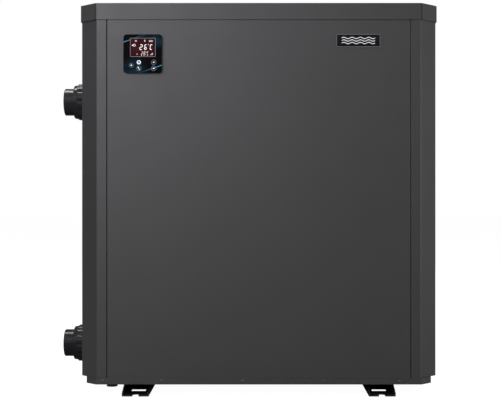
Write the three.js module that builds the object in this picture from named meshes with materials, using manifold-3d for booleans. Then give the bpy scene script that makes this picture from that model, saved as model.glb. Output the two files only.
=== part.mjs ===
// Top-discharge swimming-pool heat pump, as the assembly that it comes apart into.
// Millimetres, +Z up. The control display faces -Y and the water unions leave towards -X.
// The origin is on the floor, at the middle of the whole unit's box.
// A closed front compartment holds the compressor, the titanium water heat exchanger and the
// electrics. Behind its partition, a three-sided finned coil stands below the roof fan.
import * as THREE from "three";
import { mergeVertices } from "three/addons/utils/BufferGeometryUtils.js";
import Module from "manifold-3d";

const wasm = await Module();
wasm.setup();

// ---------------------------------------------------------------- driving dimensions
const HALF = 398.5; // half the width and the depth over the wall panels
const CORNER = 38.5; // how far the 45 degree cut runs along each wall at a corner
const SHEET = 2; // thickness of the folded steel
const FIT = 0.3; // gap between pieces that sit against each other
const SEAM_AT = 337.5; // the seam between a panel and its corner post, from the wall's middle
const SEAM_GAP = 1.6;
const RETURN_DEPTH = 14; // folded edge of a wall panel

const FOOT_TOP = 26.4;
const BASE_LOW = 26.7; // underside of the base pan
const BASE_HIGH = 40.8; // top of its rim
const BASE_FLOOR = BASE_LOW + SHEET;
const WALL_LOW = 41.1;
const WALL_HIGH = 868; // walls reach up inside the lid's skirt
const LID_LOW = 837.2;
const LID_TOP = 874;
const LID_HALF = 401;
const LID_CORNER = 39.1;

const SPLIT_AT = -121; // y of the seam between a service panel and the grille behind it
const PARTITION_Y = -120;
const ROOF_Z = 735;
const PORT_Y = -223.5; // the water ports' plane
const UPPER_PORT_Z = 668.7;
const LOWER_PORT_Z = 97.6;
const EXCHANGER_X = -262;

const FAN_RADIUS = 276;
const THROAT_RADIUS = 290;
const HUB_RADIUS = 72;

// Outward distances of the water union's pieces, from the cabinet's middle plane.
const STUB_END = 420;
const NUT_START = 402;
const NUT_LIP = 428.3;
const NUT_END = 436;
const TAIL_END = 459.4;
const GLAND_END = 413;
const FLOW_SWITCH_X = 365; // where the flow switch's stem stands in the lower port

const DISPLAY_SIZE = 86;
const DISPLAY_X = -257.2;
const DISPLAY_Z = 760.8;
const DISPLAY_FRONT = HALF + 6.4;

// ---------------------------------------------------------------- materials
const paint = (color, roughness, metalness = 0) =>
  new THREE.MeshStandardMaterial({ color, roughness, metalness });
const casing = paint(0x4a4a4d, 0.45, 0.3);
const blackPaint = paint(0x0c0c0c, 0.5, 0.2);
const blackPlastic = paint(0x1a1a1a, 0.35);
const rubber = paint(0x151515, 0.9);
const galvanised = paint(0xa8adb0, 0.4, 0.9);
const finStock = paint(0x7f97a8, 0.4, 0.8);
const copper = paint(0xb4653a, 0.3, 1);
const brass = paint(0xb08d45, 0.3, 1);
const titanium = paint(0x8d8a86, 0.3, 1);
const greyPvc = paint(0x6c7074, 0.5);
const fanPlastic = paint(0x202224, 0.55);
const boardGreen = paint(0x1c5a34, 0.5);
const blackGlass = paint(0x050608, 0.05);
const plateBlack = paint(0x101010, 0.3);

// ---------------------------------------------------------------- solids and shapes
// A closed geometry as a manifold-3d solid, for cutting and joining.
function solid(geometry) {
  const loose = geometry.index ? geometry.toNonIndexed() : geometry;
  const bare = new THREE.BufferGeometry();
  bare.setAttribute("position", loose.getAttribute("position"));
  const merged = mergeVertices(bare, 1e-3);
  return new wasm.Manifold(
    new wasm.Mesh({
      numProp: 3,
      vertProperties: merged.attributes.position.array,
      triVerts: new Uint32Array(merged.index.array),
    }),
  );
}

function geometryOf(manifold) {
  const mesh = manifold.getMesh();
  const geometry = new THREE.BufferGeometry();
  geometry.setAttribute("position", new THREE.BufferAttribute(mesh.vertProperties, 3));
  geometry.setIndex(new THREE.BufferAttribute(mesh.triVerts, 1));
  geometry.computeVertexNormals();
  return geometry;
}

const cut = (body, ...tools) =>
  geometryOf(tools.reduce((left, tool) => left.subtract(solid(tool)), solid(body)));

const join = (...pieces) =>
  geometryOf(pieces.slice(1).reduce((sum, piece) => sum.add(solid(piece)), solid(pieces[0])));

const common = (a, b) => geometryOf(solid(a).intersect(solid(b)));

function box(x0, x1, y0, y1, z0, z1) {
  const block = new THREE.BoxGeometry(x1 - x0, y1 - y0, z1 - z0);
  return block.translate((x0 + x1) / 2, (y0 + y1) / 2, (z0 + z1) / 2);
}

const shapeOf = (points) => new THREE.Shape(points.map(([x, y]) => new THREE.Vector2(x, y)));

// An outline in plan, extruded upwards from z0 to z1.
function prism(outline, z0, z1, curveSegments = 8) {
  const shape = Array.isArray(outline) ? shapeOf(outline) : outline;
  const settings = { depth: z1 - z0, bevelEnabled: false, curveSegments };
  return new THREE.ExtrudeGeometry(shape, settings).translate(0, 0, z0);
}

// An outline of [y, z] points, extruded along X from x0 to x1.
function prismAlongX(outline, x0, x1) {
  const turn = new THREE.Matrix4().makeBasis(
    new THREE.Vector3(0, 1, 0),
    new THREE.Vector3(0, 0, 1),
    new THREE.Vector3(1, 0, 0),
  );
  return prism(outline, x0, x1).applyMatrix4(turn);
}

// A profile of [radius, height] points, turned about Z. It climbs on its outer side.
function turned(profile, segments = 24) {
  const points = profile.map(([r, z]) => new THREE.Vector2(r, z));
  return new THREE.LatheGeometry(points, segments).rotateX(Math.PI / 2);
}

// A ring or tube: the same, with the profile closed on itself.
const turnedRing = (profile, segments) => turned([...profile, profile[0]], segments);

const tube = (inner, outer, z0, z1, segments) =>
  turnedRing(
    [
      [inner, z0],
      [outer, z0],
      [outer, z1],
      [inner, z1],
    ],
    segments,
  );

const drum = (radius, z0, z1, segments = 24) =>
  turned(
    [
      [0, z0],
      [radius, z0],
      [radius, z1],
      [0, z1],
    ],
    segments,
  );

// A square plan with its four corners cut at 45 degrees.
function cutCornerPlan(halfX, halfY, corner) {
  return [
    [-halfX + corner, -halfY],
    [halfX - corner, -halfY],
    [halfX, -halfY + corner],
    [halfX, halfY - corner],
    [halfX - corner, halfY],
    [-halfX + corner, halfY],
    [-halfX, halfY - corner],
    [-halfX, -halfY + corner],
  ];
}

// A copper line through its corner points, each corner bent at the given radius.
function copperLine(points, radius, steps, bend = 18) {
  const at = points.map((p) => new THREE.Vector3(...p));
  const path = new THREE.CurvePath();
  let from = at[0];
  for (let i = 1; i < at.length - 1; i += 1) {
    const into = at[i].clone().sub(at[i - 1]).normalize();
    const out = at[i + 1].clone().sub(at[i]).normalize();
    const start = at[i].clone().addScaledVector(into, -bend);
    const end = at[i].clone().addScaledVector(out, bend);
    path.add(new THREE.LineCurve3(from, start));
    path.add(new THREE.QuadraticBezierCurve3(start, at[i], end));
    from = end;
  }
  path.add(new THREE.LineCurve3(from, at.at(-1)));
  return sweep(path, radius, steps);
}

// A full arc is cut into two points for each curve segment.
function sweep(path, radius, steps, sides = 6) {
  const section = new THREE.Shape().absarc(0, 0, radius, 0, 2 * Math.PI);
  const settings = { steps, curveSegments: sides / 2, extrudePath: path, bevelEnabled: false };
  return new THREE.ExtrudeGeometry(section, settings);
}

function add(group, name, geometry, material) {
  const mesh = new THREE.Mesh(geometry, material);
  mesh.name = name;
  group.add(mesh);
  return mesh;
}

const unit = new THREE.Group();

// ---------------------------------------------------------------- feet and base pan
// A pressed channel under each side, raked at its ends, with an open slot for an anchor bolt.
function footRail() {
  const half = 29.9;
  const lipInner = 17;
  const wall = 2.5;
  const nose = 8; // height of the channel's end
  const rake = 62; // length over which the wall climbs to full height
  const slotHalf = 7;
  const slotStraight = 17;
  const window = { near: 60, far: 92, half: 16.5 };
  const channel = cut(
    box(-half, half, -HALF, HALF, 0, FOOT_TOP),
    box(-half + wall, half - wall, -HALF - 1, HALF + 1, wall, FOOT_TOP - wall),
    box(-lipInner, lipInner, -HALF - 1, HALF + 1, FOOT_TOP - wall - 1, FOOT_TOP + 1),
  );
  const tools = [];
  for (const end of [-1, 1]) {
    const above = [
      [end * (HALF + 1), nose],
      [end * (HALF - rake), FOOT_TOP + 1],
      [end * (HALF + 1), FOOT_TOP + 1],
    ];
    tools.push(prismAlongX(end < 0 ? above.reverse() : above, -half - 1, half + 1));
    const ys = [end * (HALF + 1), end * (HALF - slotStraight)].sort((a, b) => a - b);
    tools.push(box(-slotHalf, slotHalf, ys[0], ys[1], -1, wall + 1));
    tools.push(drum(slotHalf, -1, wall + 1, 16).translate(0, end * (HALF - slotStraight), 0));
    const ws = [end * (HALF - window.near), end * (HALF - window.far)].sort((a, b) => a - b);
    tools.push(box(-window.half, window.half, ws[0], ws[1], -1, wall + 1));
  }
  return cut(channel, ...tools);
}

function addBase() {
  const footX = 274.4;
  for (const [name, side] of [
    ["left_foot_rail", -1],
    ["right_foot_rail", 1],
  ]) {
    add(unit, name, footRail(), blackPaint).position.x = side * footX;
  }
  const [halfX, halfY, corner] = [386, HALF, 24];
  const outside = prism(cutCornerPlan(halfX, halfY, corner), BASE_LOW, BASE_HIGH);
  const inside = prism(
    cutCornerPlan(halfX - SHEET, halfY - SHEET, corner - 0.59 * SHEET),
    BASE_FLOOR,
    BASE_HIGH + 1,
  );
  const drainAt = [-336, -318.5];
  const [bore, outer, flange] = [9.5, 12.5, 18];
  const drainHole = drum(outer + 0.7, BASE_LOW - 1, BASE_FLOOR + 1).translate(...drainAt, 0);
  add(unit, "base_pan", cut(outside, inside, drainHole), casing);
  const spigot = turnedRing([
    [bore, 10.3],
    [outer, 10.3],
    [outer, BASE_FLOOR + FIT],
    [flange, BASE_FLOOR + FIT],
    [flange, BASE_FLOOR + 2.5],
    [bore, BASE_FLOOR + 2.5],
  ]);
  add(unit, "drain_spigot", spigot, blackPlastic).position.set(...drainAt, 0);
}

// ---------------------------------------------------------------- casing
// The next shapes are drawn for the front wall, and turned about Z for the other walls.

// The post at the front wall's right end: two flat edges, the 45 degree face and its returns.
function cornerPost() {
  const edge = SEAM_AT + SEAM_GAP / 2;
  const shoulder = HALF - CORNER;
  const inner = HALF - SHEET;
  const innerShoulder = shoulder - 0.414 * SHEET;
  const back = HALF - RETURN_DEPTH;
  return prism(
    [
      [edge, -HALF],
      [shoulder, -HALF],
      [HALF, -shoulder],
      [HALF, -edge],
      [back, -edge],
      [back, -edge - SHEET],
      [inner, -edge - SHEET],
      [inner, -innerShoulder],
      [innerShoulder, -inner],
      [edge + SHEET, -inner],
      [edge + SHEET, -back],
      [edge, -back],
    ],
    WALL_LOW,
    WALL_HIGH,
  );
}

// A wall panel between two seams, with both upright edges folded inwards.
function wallPanel(x0, x1) {
  const inner = HALF - SHEET;
  const back = HALF - RETURN_DEPTH;
  const [left, right] = [x0 + SEAM_GAP / 2, x1 - SEAM_GAP / 2];
  return prism(
    [
      [left, -HALF],
      [right, -HALF],
      [right, -back],
      [right - SHEET, -back],
      [right - SHEET, -inner],
      [left + SHEET, -inner],
      [left + SHEET, -back],
      [left, -back],
    ],
    WALL_LOW,
    WALL_HIGH,
  );
}

// Rows of air slots through a wall panel, in equal columns.
function slottedPanel(x0, x1, columns) {
  const margin = 34;
  const post = 26;
  const [low, pitch, open, rows] = [64, 42, 24, 16];
  const width = (x1 - x0 - 2 * margin - (columns - 1) * post) / columns;
  const slots = [];
  for (let column = 0; column < columns; column += 1) {
    const left = x0 + margin + column * (width + post);
    for (let row = 0; row < rows; row += 1) {
      const z = low + row * pitch;
      slots.push(box(left, left + width, -HALF - 1, -HALF + SHEET + 1, z, z + open));
    }
  }
  return cut(wallPanel(x0, x1), ...slots);
}

// A round hole through the front wall's sheet.
const wallHole = (x, z, radius) =>
  drum(radius, HALF - 8, HALF + 8)
    .rotateX(Math.PI / 2)
    .translate(x, 0, z);

const GLAND = { y: -223.5, z: 150 };

function addCasing() {
  const walls = {
    front: 0,
    right: Math.PI / 2,
    back: Math.PI,
    left: -Math.PI / 2,
  };
  const posts = {
    front: "front_right_post",
    right: "rear_right_post",
    back: "rear_left_post",
    left: "front_left_post",
  };
  const wallGroup = {};
  for (const [name, angle] of Object.entries(walls)) {
    wallGroup[name] = new THREE.Group();
    wallGroup[name].rotation.z = angle;
    unit.add(wallGroup[name]);
    add(wallGroup[name], posts[name], cornerPost(), casing);
  }
  const reach = 32; // half the side of the hole for the display's back box
  const wiring = box(
    DISPLAY_X - reach,
    DISPLAY_X + reach,
    -HALF - 1,
    -HALF + 3,
    DISPLAY_Z - reach,
    DISPLAY_Z + reach,
  );
  add(wallGroup.front, "front_panel", cut(wallPanel(-SEAM_AT, SEAM_AT), wiring), casing);
  const ports = [UPPER_PORT_Z, LOWER_PORT_Z].map((z) => wallHole(-PORT_Y, z, 40.6));
  add(wallGroup.left, "left_service_panel", cut(wallPanel(-SPLIT_AT, SEAM_AT), ...ports), casing);
  add(wallGroup.left, "left_grille", slottedPanel(-SEAM_AT, -SPLIT_AT, 1), casing);
  const glandHole = wallHole(GLAND.y, GLAND.z, 12.6);
  add(wallGroup.right, "right_service_panel", cut(wallPanel(-SEAM_AT, SPLIT_AT), glandHole), casing);
  add(wallGroup.right, "right_grille", slottedPanel(SPLIT_AT, SEAM_AT, 1), casing);
  add(wallGroup.back, "back_grille", slottedPanel(-SEAM_AT, SEAM_AT, 2), casing);

  const gland = turnedRing([
    [6, 384],
    [12, 384],
    [12, 388],
    [16, 388],
    [16, HALF - SHEET - FIT],
    [12, HALF - SHEET - FIT],
    [12, HALF + FIT],
    [16, HALF + FIT],
    [16, 405],
    [13, 407],
    [13, 410],
    [10, GLAND_END],
    [6, GLAND_END],
  ], 12);
  const glandMesh = add(unit, "cable_gland", gland, blackPlastic);
  glandMesh.rotation.y = Math.PI / 2;
  glandMesh.position.set(0, GLAND.y, GLAND.z);

  const lidSolid = prism(cutCornerPlan(LID_HALF, LID_HALF, LID_CORNER), LID_LOW, LID_TOP);
  const lidInside = prism(
    cutCornerPlan(LID_HALF - SHEET, LID_HALF - SHEET, LID_CORNER - 0.59 * SHEET),
    LID_LOW - 1,
    LID_TOP - SHEET,
  );
  const fanHole = drum(THROAT_RADIUS + 6, LID_TOP - 5, LID_TOP + 1, 36);
  add(unit, "lid", cut(lidSolid, lidInside, fanHole), casing);
}

// ---------------------------------------------------------------- fan
const GUARD_RADIUS = 304;
const GUARD_RISE = 34;
const guardHeight = (r) => LID_TOP + FIT + GUARD_RISE * (1 - (r / GUARD_RADIUS) ** 2);

// A shallow dome of square-section rings on six arms, around a solid middle.
function fanGuard() {
  const wire = 4;
  const badge = 46;
  const rings = [110, 174, 238, GUARD_RADIUS - wire / 2].map((r) => {
    const z = guardHeight(r + wire / 2);
    return tube(r - wire / 2, r + wire / 2, z, z + wire, 30);
  });
  const middle = drum(badge, guardHeight(badge), guardHeight(badge) + wire, 24);
  const inside = badge - 10;
  const outside = GUARD_RADIUS - wire / 2;
  const [stations, armCount] = [4, 6];
  const low = [];
  for (let i = 0; i <= stations; i += 1) {
    const r = inside + ((outside - inside) * i) / stations;
    low.push([r, guardHeight(r)]);
  }
  const high = low.map(([r, z]) => [r, z + wire]).reverse();
  const arms = [];
  for (let k = 0; k < armCount; k += 1) {
    const arm = prismAlongX([...low, ...high], -wire / 2, wire / 2);
    arms.push(arm.rotateZ((k * 2 * Math.PI) / armCount));
  }
  return join(middle, ...rings, ...arms);
}

const BLADE_LOW = 770;
const BLADE_MIDDLE = 802;

// One sickle blade as a closed skin: a top and a bottom grid, stitched round their edge.
function blade() {
  const [spans, chords, thickness] = [5, 3, 3.2];
  const [rootRadius, rootChord, tipChord] = [HUB_RADIUS - 6, 78, 172];
  const [rootPitch, tipPitch] = [0.56, 0.36];
  const [sweepAngle, camber] = [0.42, 9];
  const at = (i, j, down) => {
    const u = i / spans;
    const v = j / chords - 0.5;
    const r = rootRadius + (FAN_RADIUS - rootRadius) * u;
    const chord = rootChord + (tipChord - rootChord) * u;
    const pitch = rootPitch + (tipPitch - rootPitch) * u;
    const angle = sweepAngle * u * u + (v * chord * Math.cos(pitch)) / r;
    const z = BLADE_MIDDLE + v * chord * Math.sin(pitch) + camber * (1 - 4 * v * v) - down;
    return [r * Math.cos(angle), r * Math.sin(angle), z];
  };
  const positions = [];
  const quad = (a, b, c, d) => positions.push(...a, ...b, ...c, ...a, ...c, ...d);
  for (let i = 0; i < spans; i += 1) {
    for (let j = 0; j < chords; j += 1) {
      quad(at(i, j, 0), at(i + 1, j, 0), at(i + 1, j + 1, 0), at(i, j + 1, 0));
      quad(
        at(i, j, thickness),
        at(i, j + 1, thickness),
        at(i + 1, j + 1, thickness),
        at(i + 1, j, thickness),
      );
    }
    quad(at(i, 0, thickness), at(i + 1, 0, thickness), at(i + 1, 0, 0), at(i, 0, 0));
    quad(
      at(i, chords, 0),
      at(i + 1, chords, 0),
      at(i + 1, chords, thickness),
      at(i, chords, thickness),
    );
  }
  for (let j = 0; j < chords; j += 1) {
    quad(at(0, j, 0), at(0, j + 1, 0), at(0, j + 1, thickness), at(0, j, thickness));
    quad(at(spans, j, thickness), at(spans, j + 1, thickness), at(spans, j + 1, 0), at(spans, j, 0));
  }
  const geometry = new THREE.BufferGeometry();
  geometry.setAttribute("position", new THREE.Float32BufferAttribute(positions, 3));
  return geometry;
}

function addFan() {
  const blades = 5;
  const shaftRadius = 7;
  const hub = turnedRing([
    [shaftRadius + FIT, 776],
    [20, 776],
    [20, 826],
    [HUB_RADIUS - 4, 826],
    [HUB_RADIUS - 4, BLADE_LOW],
    [HUB_RADIUS, BLADE_LOW],
    [HUB_RADIUS, 826],
    [HUB_RADIUS - 6, 832],
    [shaftRadius + FIT, 832],
  ], 24);
  // The blade roots are cut back where the hub is hollow.
  const hollow = tube(30, HUB_RADIUS - 3.9, BLADE_LOW - 30, 825.9, 24);
  const ring = [];
  for (let k = 0; k < blades; k += 1) {
    const turnedBlade = blade().rotateZ((k * 2 * Math.PI) / blades);
    ring.push(cut(turnedBlade, hollow));
  }
  add(unit, "fan_rotor", join(hub, ...ring), fanPlastic);
  add(unit, "fan_shaft", drum(shaftRadius, 668.3, 842, 16), galvanised);

  const motor = turned([
    [0, 655],
    [52, 655],
    [60, 663],
    [60, 729],
    [52, 737.4],
    [25, 737.4],
    [25, 748],
    [shaftRadius + 0.5, 748],
    [shaftRadius + 0.5, 668],
    [0, 668],
  ]);
  add(unit, "fan_motor", motor, galvanised);

  const [barX, barHalf, barLow, barHigh, reach] = [58, 12, 737.7, 744, 382];
  const bars = [-1, 1].map((side) =>
    box(side * barX - barHalf, side * barX + barHalf, -reach, reach, barLow, barHigh),
  );
  const plate = cut(box(-80, 80, -75, 75, barLow, barLow + 3), drum(26, barLow - 1, barHigh, 24));
  add(unit, "motor_bracket", join(...bars, plate), galvanised);

  const shroud = turnedRing([
    [303, 766],
    [306, 768],
    [THROAT_RADIUS + 3, 782],
    [THROAT_RADIUS + 3, 869],
    [330, 869],
    [330, LID_TOP - SHEET - FIT],
    [THROAT_RADIUS, LID_TOP - SHEET - FIT],
    [THROAT_RADIUS, 781],
  ], 36);
  add(unit, "fan_shroud", shroud, galvanised);
  add(unit, "fan_guard", fanGuard(), blackPaint);
}

// ---------------------------------------------------------------- controls on the front
function roundedSquare(size, radius) {
  const half = size / 2;
  const reach = half - radius;
  const shape = new THREE.Shape();
  shape.absarc(reach, reach, radius, 0, Math.PI / 2);
  shape.absarc(-reach, reach, radius, Math.PI / 2, Math.PI);
  shape.absarc(-reach, -reach, radius, Math.PI, 1.5 * Math.PI);
  shape.absarc(reach, -reach, radius, 1.5 * Math.PI, 2 * Math.PI);
  return shape;
}

function addControls() {
  // Layers are stacked towards +Z here, and the group turns +Z to face -Y.
  const stack = new THREE.Group();
  stack.rotation.x = Math.PI / 2;
  stack.position.set(DISPLAY_X, 0, DISPLAY_Z);
  unit.add(stack);
  const gasket = HALF + FIT;
  const frame = gasket + 1.2;
  const glass = DISPLAY_FRONT - 1.2;
  const opening = prism(roundedSquare(60.6, 4), gasket - 1, frame + 1, 2);
  add(stack, "display_gasket", cut(prism(roundedSquare(83, 6), gasket, frame - FIT, 2), opening), rubber);
  const backBox = prism(roundedSquare(60, 4), HALF - 12, frame + 1, 2);
  const face = prism(roundedSquare(DISPLAY_SIZE, 7), frame, glass - FIT, 3);
  add(stack, "display_housing", join(face, backBox), blackPlastic);
  const sheet = prism(roundedSquare(DISPLAY_SIZE - 0.8, 6.6), glass, DISPLAY_FRONT, 3);
  add(stack, "display_glass", sheet, blackGlass);

  const [plateX, plateZ, plateWide, plateHigh] = [221, 790.5, 98, 29];
  const plate = box(
    plateX - plateWide / 2,
    plateX + plateWide / 2,
    -HALF - 1.5,
    -HALF - FIT,
    plateZ - plateHigh / 2,
    plateZ + plateHigh / 2,
  );
  add(unit, "nameplate", plate, plateBlack);
}

// ---------------------------------------------------------------- water side
// The nut's grip: a round body with flat-topped ribs.
function ribbedOutline(root, tip, ribs, ribWidth) {
  const points = [];
  for (let k = 0; k < ribs; k += 1) {
    const middle = (k * 2 * Math.PI) / ribs;
    const half = ribWidth / 2 / tip;
    const next = middle + (2 * Math.PI) / ribs;
    for (const [r, angle] of [
      [root, middle - half],
      [tip, middle - half],
      [tip, middle + half],
      [root, middle + half],
      [root, (middle + next) / 2],
    ]) {
      points.push([r * Math.cos(angle), r * Math.sin(angle)]);
    }
  }
  return points;
}

function unionNut() {
  const [root, tip, thread, lipBore] = [41, 43, 36.5, 32.2];
  const grip = prism(ribbedOutline(root, tip, 10, 9), NUT_START, NUT_END);
  const chamfer = turned([
    [0, NUT_START - 1],
    [50, NUT_START - 1],
    [50, NUT_END - 12],
    [38.5, NUT_END + 0.1],
    [0, NUT_END + 0.1],
  ], 30);
  const bore = drum(thread, NUT_START - 1, NUT_LIP, 24);
  const mouth = drum(lipBore, NUT_START - 1, NUT_END + 1, 24);
  return cut(common(grip, chamfer), bore, mouth);
}

// The tailpiece: a shoulder that the nut holds, and the socket that the pool pipe is glued into.
function unionTail() {
  const shoulder = STUB_END + 3.5;
  return turnedRing([
    [21, shoulder],
    [35.8, shoulder],
    [35.8, NUT_LIP - FIT],
    [31.6, NUT_LIP - FIT],
    [31.6, TAIL_END - 1.5],
    [30.4, TAIL_END],
    [25.1, TAIL_END],
    [25.1, TAIL_END - 31],
    [21, TAIL_END - 31],
  ], 24);
}

function portStub(withSwitchHole) {
  const inside = 325;
  const seat = 388;
  const pipe = turnedRing([
    [21, inside],
    [30, inside],
    [30, seat],
    [36, seat],
    [36, STUB_END],
    [21, STUB_END],
  ], 24);
  // The port is turned about Y, so local -X points down: the switch's hole is on its +X side.
  const hole = drum(9, 15, 35, 16)
    .rotateY(Math.PI / 2)
    .translate(0, 0, FLOW_SWITCH_X);
  return withSwitchHole ? cut(pipe, hole) : pipe;
}

function portGrommet() {
  const [bore, groove, lip] = [36.6, 40.2, 45];
  return turnedRing([
    [bore, 394.5],
    [lip, 394.5],
    [lip, HALF - SHEET - FIT],
    [groove, HALF - SHEET - FIT],
    [groove, HALF + FIT],
    [lip, HALF + FIT],
    [lip, NUT_START - 0.6],
    [bore, NUT_START - 0.6],
  ], 20);
}

function addWaterPorts() {
  for (const [name, z, hasSwitch] of [
    ["upper", UPPER_PORT_Z, false],
    ["lower", LOWER_PORT_Z, true],
  ]) {
    // Inside the group, +Z is the way out of the cabinet.
    const port = new THREE.Group();
    port.rotation.y = -Math.PI / 2;
    port.position.set(0, PORT_Y, z);
    unit.add(port);
    add(port, name + "_port_stub", portStub(hasSwitch), greyPvc);
    add(port, name + "_port_grommet", portGrommet(), rubber);
    add(port, name + "_o_ring", tube(26, 31, STUB_END + 0.2, STUB_END + 3.2, 20), rubber);
    add(port, name + "_union_tail", unionTail(), blackPlastic);
    add(port, name + "_union_nut", unionNut(), blackPlastic);
  }
}

// A paddle hangs in the incoming water, and its switch sits on the lower port.
function addFlowSwitch() {
  const [pivot, boreTop] = [LOWER_PORT_Z + 24, LOWER_PORT_Z + 31];
  const housing = join(
    box(-18, 18, -18, 18, boreTop, 178),
    drum(8.5, LOWER_PORT_Z + 21.2, boreTop + 1, 16),
  );
  const chamber = drum(6, LOWER_PORT_Z + 20, pivot + 6, 16);
  const x = -FLOW_SWITCH_X;
  add(unit, "flow_switch", cut(housing, chamber), blackPlastic).position.set(x, PORT_Y, 0);
  const paddle = join(
    box(-0.6, 0.6, -3, 3, LOWER_PORT_Z + 8, pivot + 2),
    box(-0.6, 0.6, -11, 11, LOWER_PORT_Z - 15, LOWER_PORT_Z + 10),
    drum(1.5, -5, 5, 8)
      .rotateX(Math.PI / 2)
      .translate(0, 0, pivot),
  );
  add(unit, "flow_paddle", paddle, brass).position.set(x, PORT_Y, 0);
}

const GAS_PORT_Z = 620;
const LIQUID_PORT_Z = 160;

function addExchanger() {
  const [inner, outer] = [69, 75];
  const [low, high] = [50, 714];
  const portHoles = [UPPER_PORT_Z, LOWER_PORT_Z].map((z) =>
    drum(30.6, 40, 90, 24)
      .rotateY(-Math.PI / 2)
      .translate(0, 0, z),
  );
  const pipeHoles = [GAS_PORT_Z, LIQUID_PORT_Z].map((z) =>
    drum(9.5, 40, 90, 12)
      .rotateY(Math.PI / 2)
      .translate(0, 0, z),
  );
  const shell = cut(tube(inner, outer, low, high, 24), ...portHoles, ...pipeHoles);
  const bottom = turned([
    [0, BASE_FLOOR + FIT],
    [84, BASE_FLOOR + FIT],
    [84, 36],
    [79, 40],
    [79, low - FIT],
    [0, low - FIT],
  ], 24);
  const top = turned([
    [0, high + FIT],
    [79, high + FIT],
    [79, 722],
    [70, 728],
    [0, 728],
  ], 24);
  const place = (name, geometry, material) =>
    add(unit, name, geometry, material).position.set(EXCHANGER_X, PORT_Y, 0);
  place("exchanger_shell", shell, greyPvc);
  place("exchanger_bottom_cap", bottom, greyPvc);
  place("exchanger_top_cap", top, greyPvc);

  // The titanium tube winds down inside the shell, where the refrigerant warms the pool water.
  const [turns, perTurn, coilRadius] = [6, 9, 46];
  const [coilLow, coilHigh] = [150, 630];
  const winding = [];
  for (let i = 0; i <= turns * perTurn; i += 1) {
    const angle = (i / perTurn) * 2 * Math.PI;
    const z = coilLow + ((coilHigh - coilLow) * i) / (turns * perTurn);
    winding.push(new THREE.Vector3(coilRadius * Math.cos(angle), coilRadius * Math.sin(angle), z));
  }
  const helix = sweep(new THREE.CatmullRomCurve3(winding), 8, turns * perTurn);
  place("titanium_coil", helix, titanium);
}

// ---------------------------------------------------------------- refrigerant side
const COMPRESSOR = { x: 60, y: -255 };
const ACCUMULATOR = { x: 152, y: -290 };
const VALVE = { x: 100, y: -255, z: 430 };
const COIL_LINE_Z = 378; // where the gas line crosses the partition

function addCompressor() {
  const place = (name, geometry, material) =>
    add(unit, name, geometry, material).position.set(COMPRESSOR.x, COMPRESSOR.y, 0);
  const plateLow = 48;
  const ears = [0, 1, 2].map((k) => Math.PI / 2 + (k * 2 * Math.PI) / 3);
  const outline = new THREE.Shape();
  for (const angle of ears) {
    const [x, y] = [92 * Math.cos(angle), 92 * Math.sin(angle)];
    outline.absarc(x, y, 20, angle - Math.PI / 3, angle + Math.PI / 3);
  }
  place("compressor_plate", prism(outline, plateLow, plateLow + 4, 4), blackPaint);
  ears.forEach((angle, k) => {
    const grommet = turned([
      [0, BASE_FLOOR + FIT],
      [14, BASE_FLOOR + FIT],
      [11, 38],
      [14, plateLow - FIT],
      [0, plateLow - FIT],
    ], 16);
    const [x, y] = [92 * Math.cos(angle), 92 * Math.sin(angle)];
    place("compressor_grommet_" + (k + 1), grommet.translate(x, y, 0), rubber);
  });
  const shell = turned([
    [0, plateLow + 4.3],
    [52, plateLow + 4.3],
    [66, 70],
    [66, 128],
    [68, 130],
    [68, 300],
    [66, 302],
    [62, 330],
    [44, 350],
    [0, 358],
  ], 24);
  place("compressor", shell, blackPaint);

  const flask = turned([
    [0, 168],
    [12, 170],
    [28, 186],
    [28, 304],
    [12, 320],
    [0, 322],
  ], 16);
  add(unit, "accumulator", flask, blackPaint).position.set(ACCUMULATOR.x, ACCUMULATOR.y, 0);
}

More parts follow.
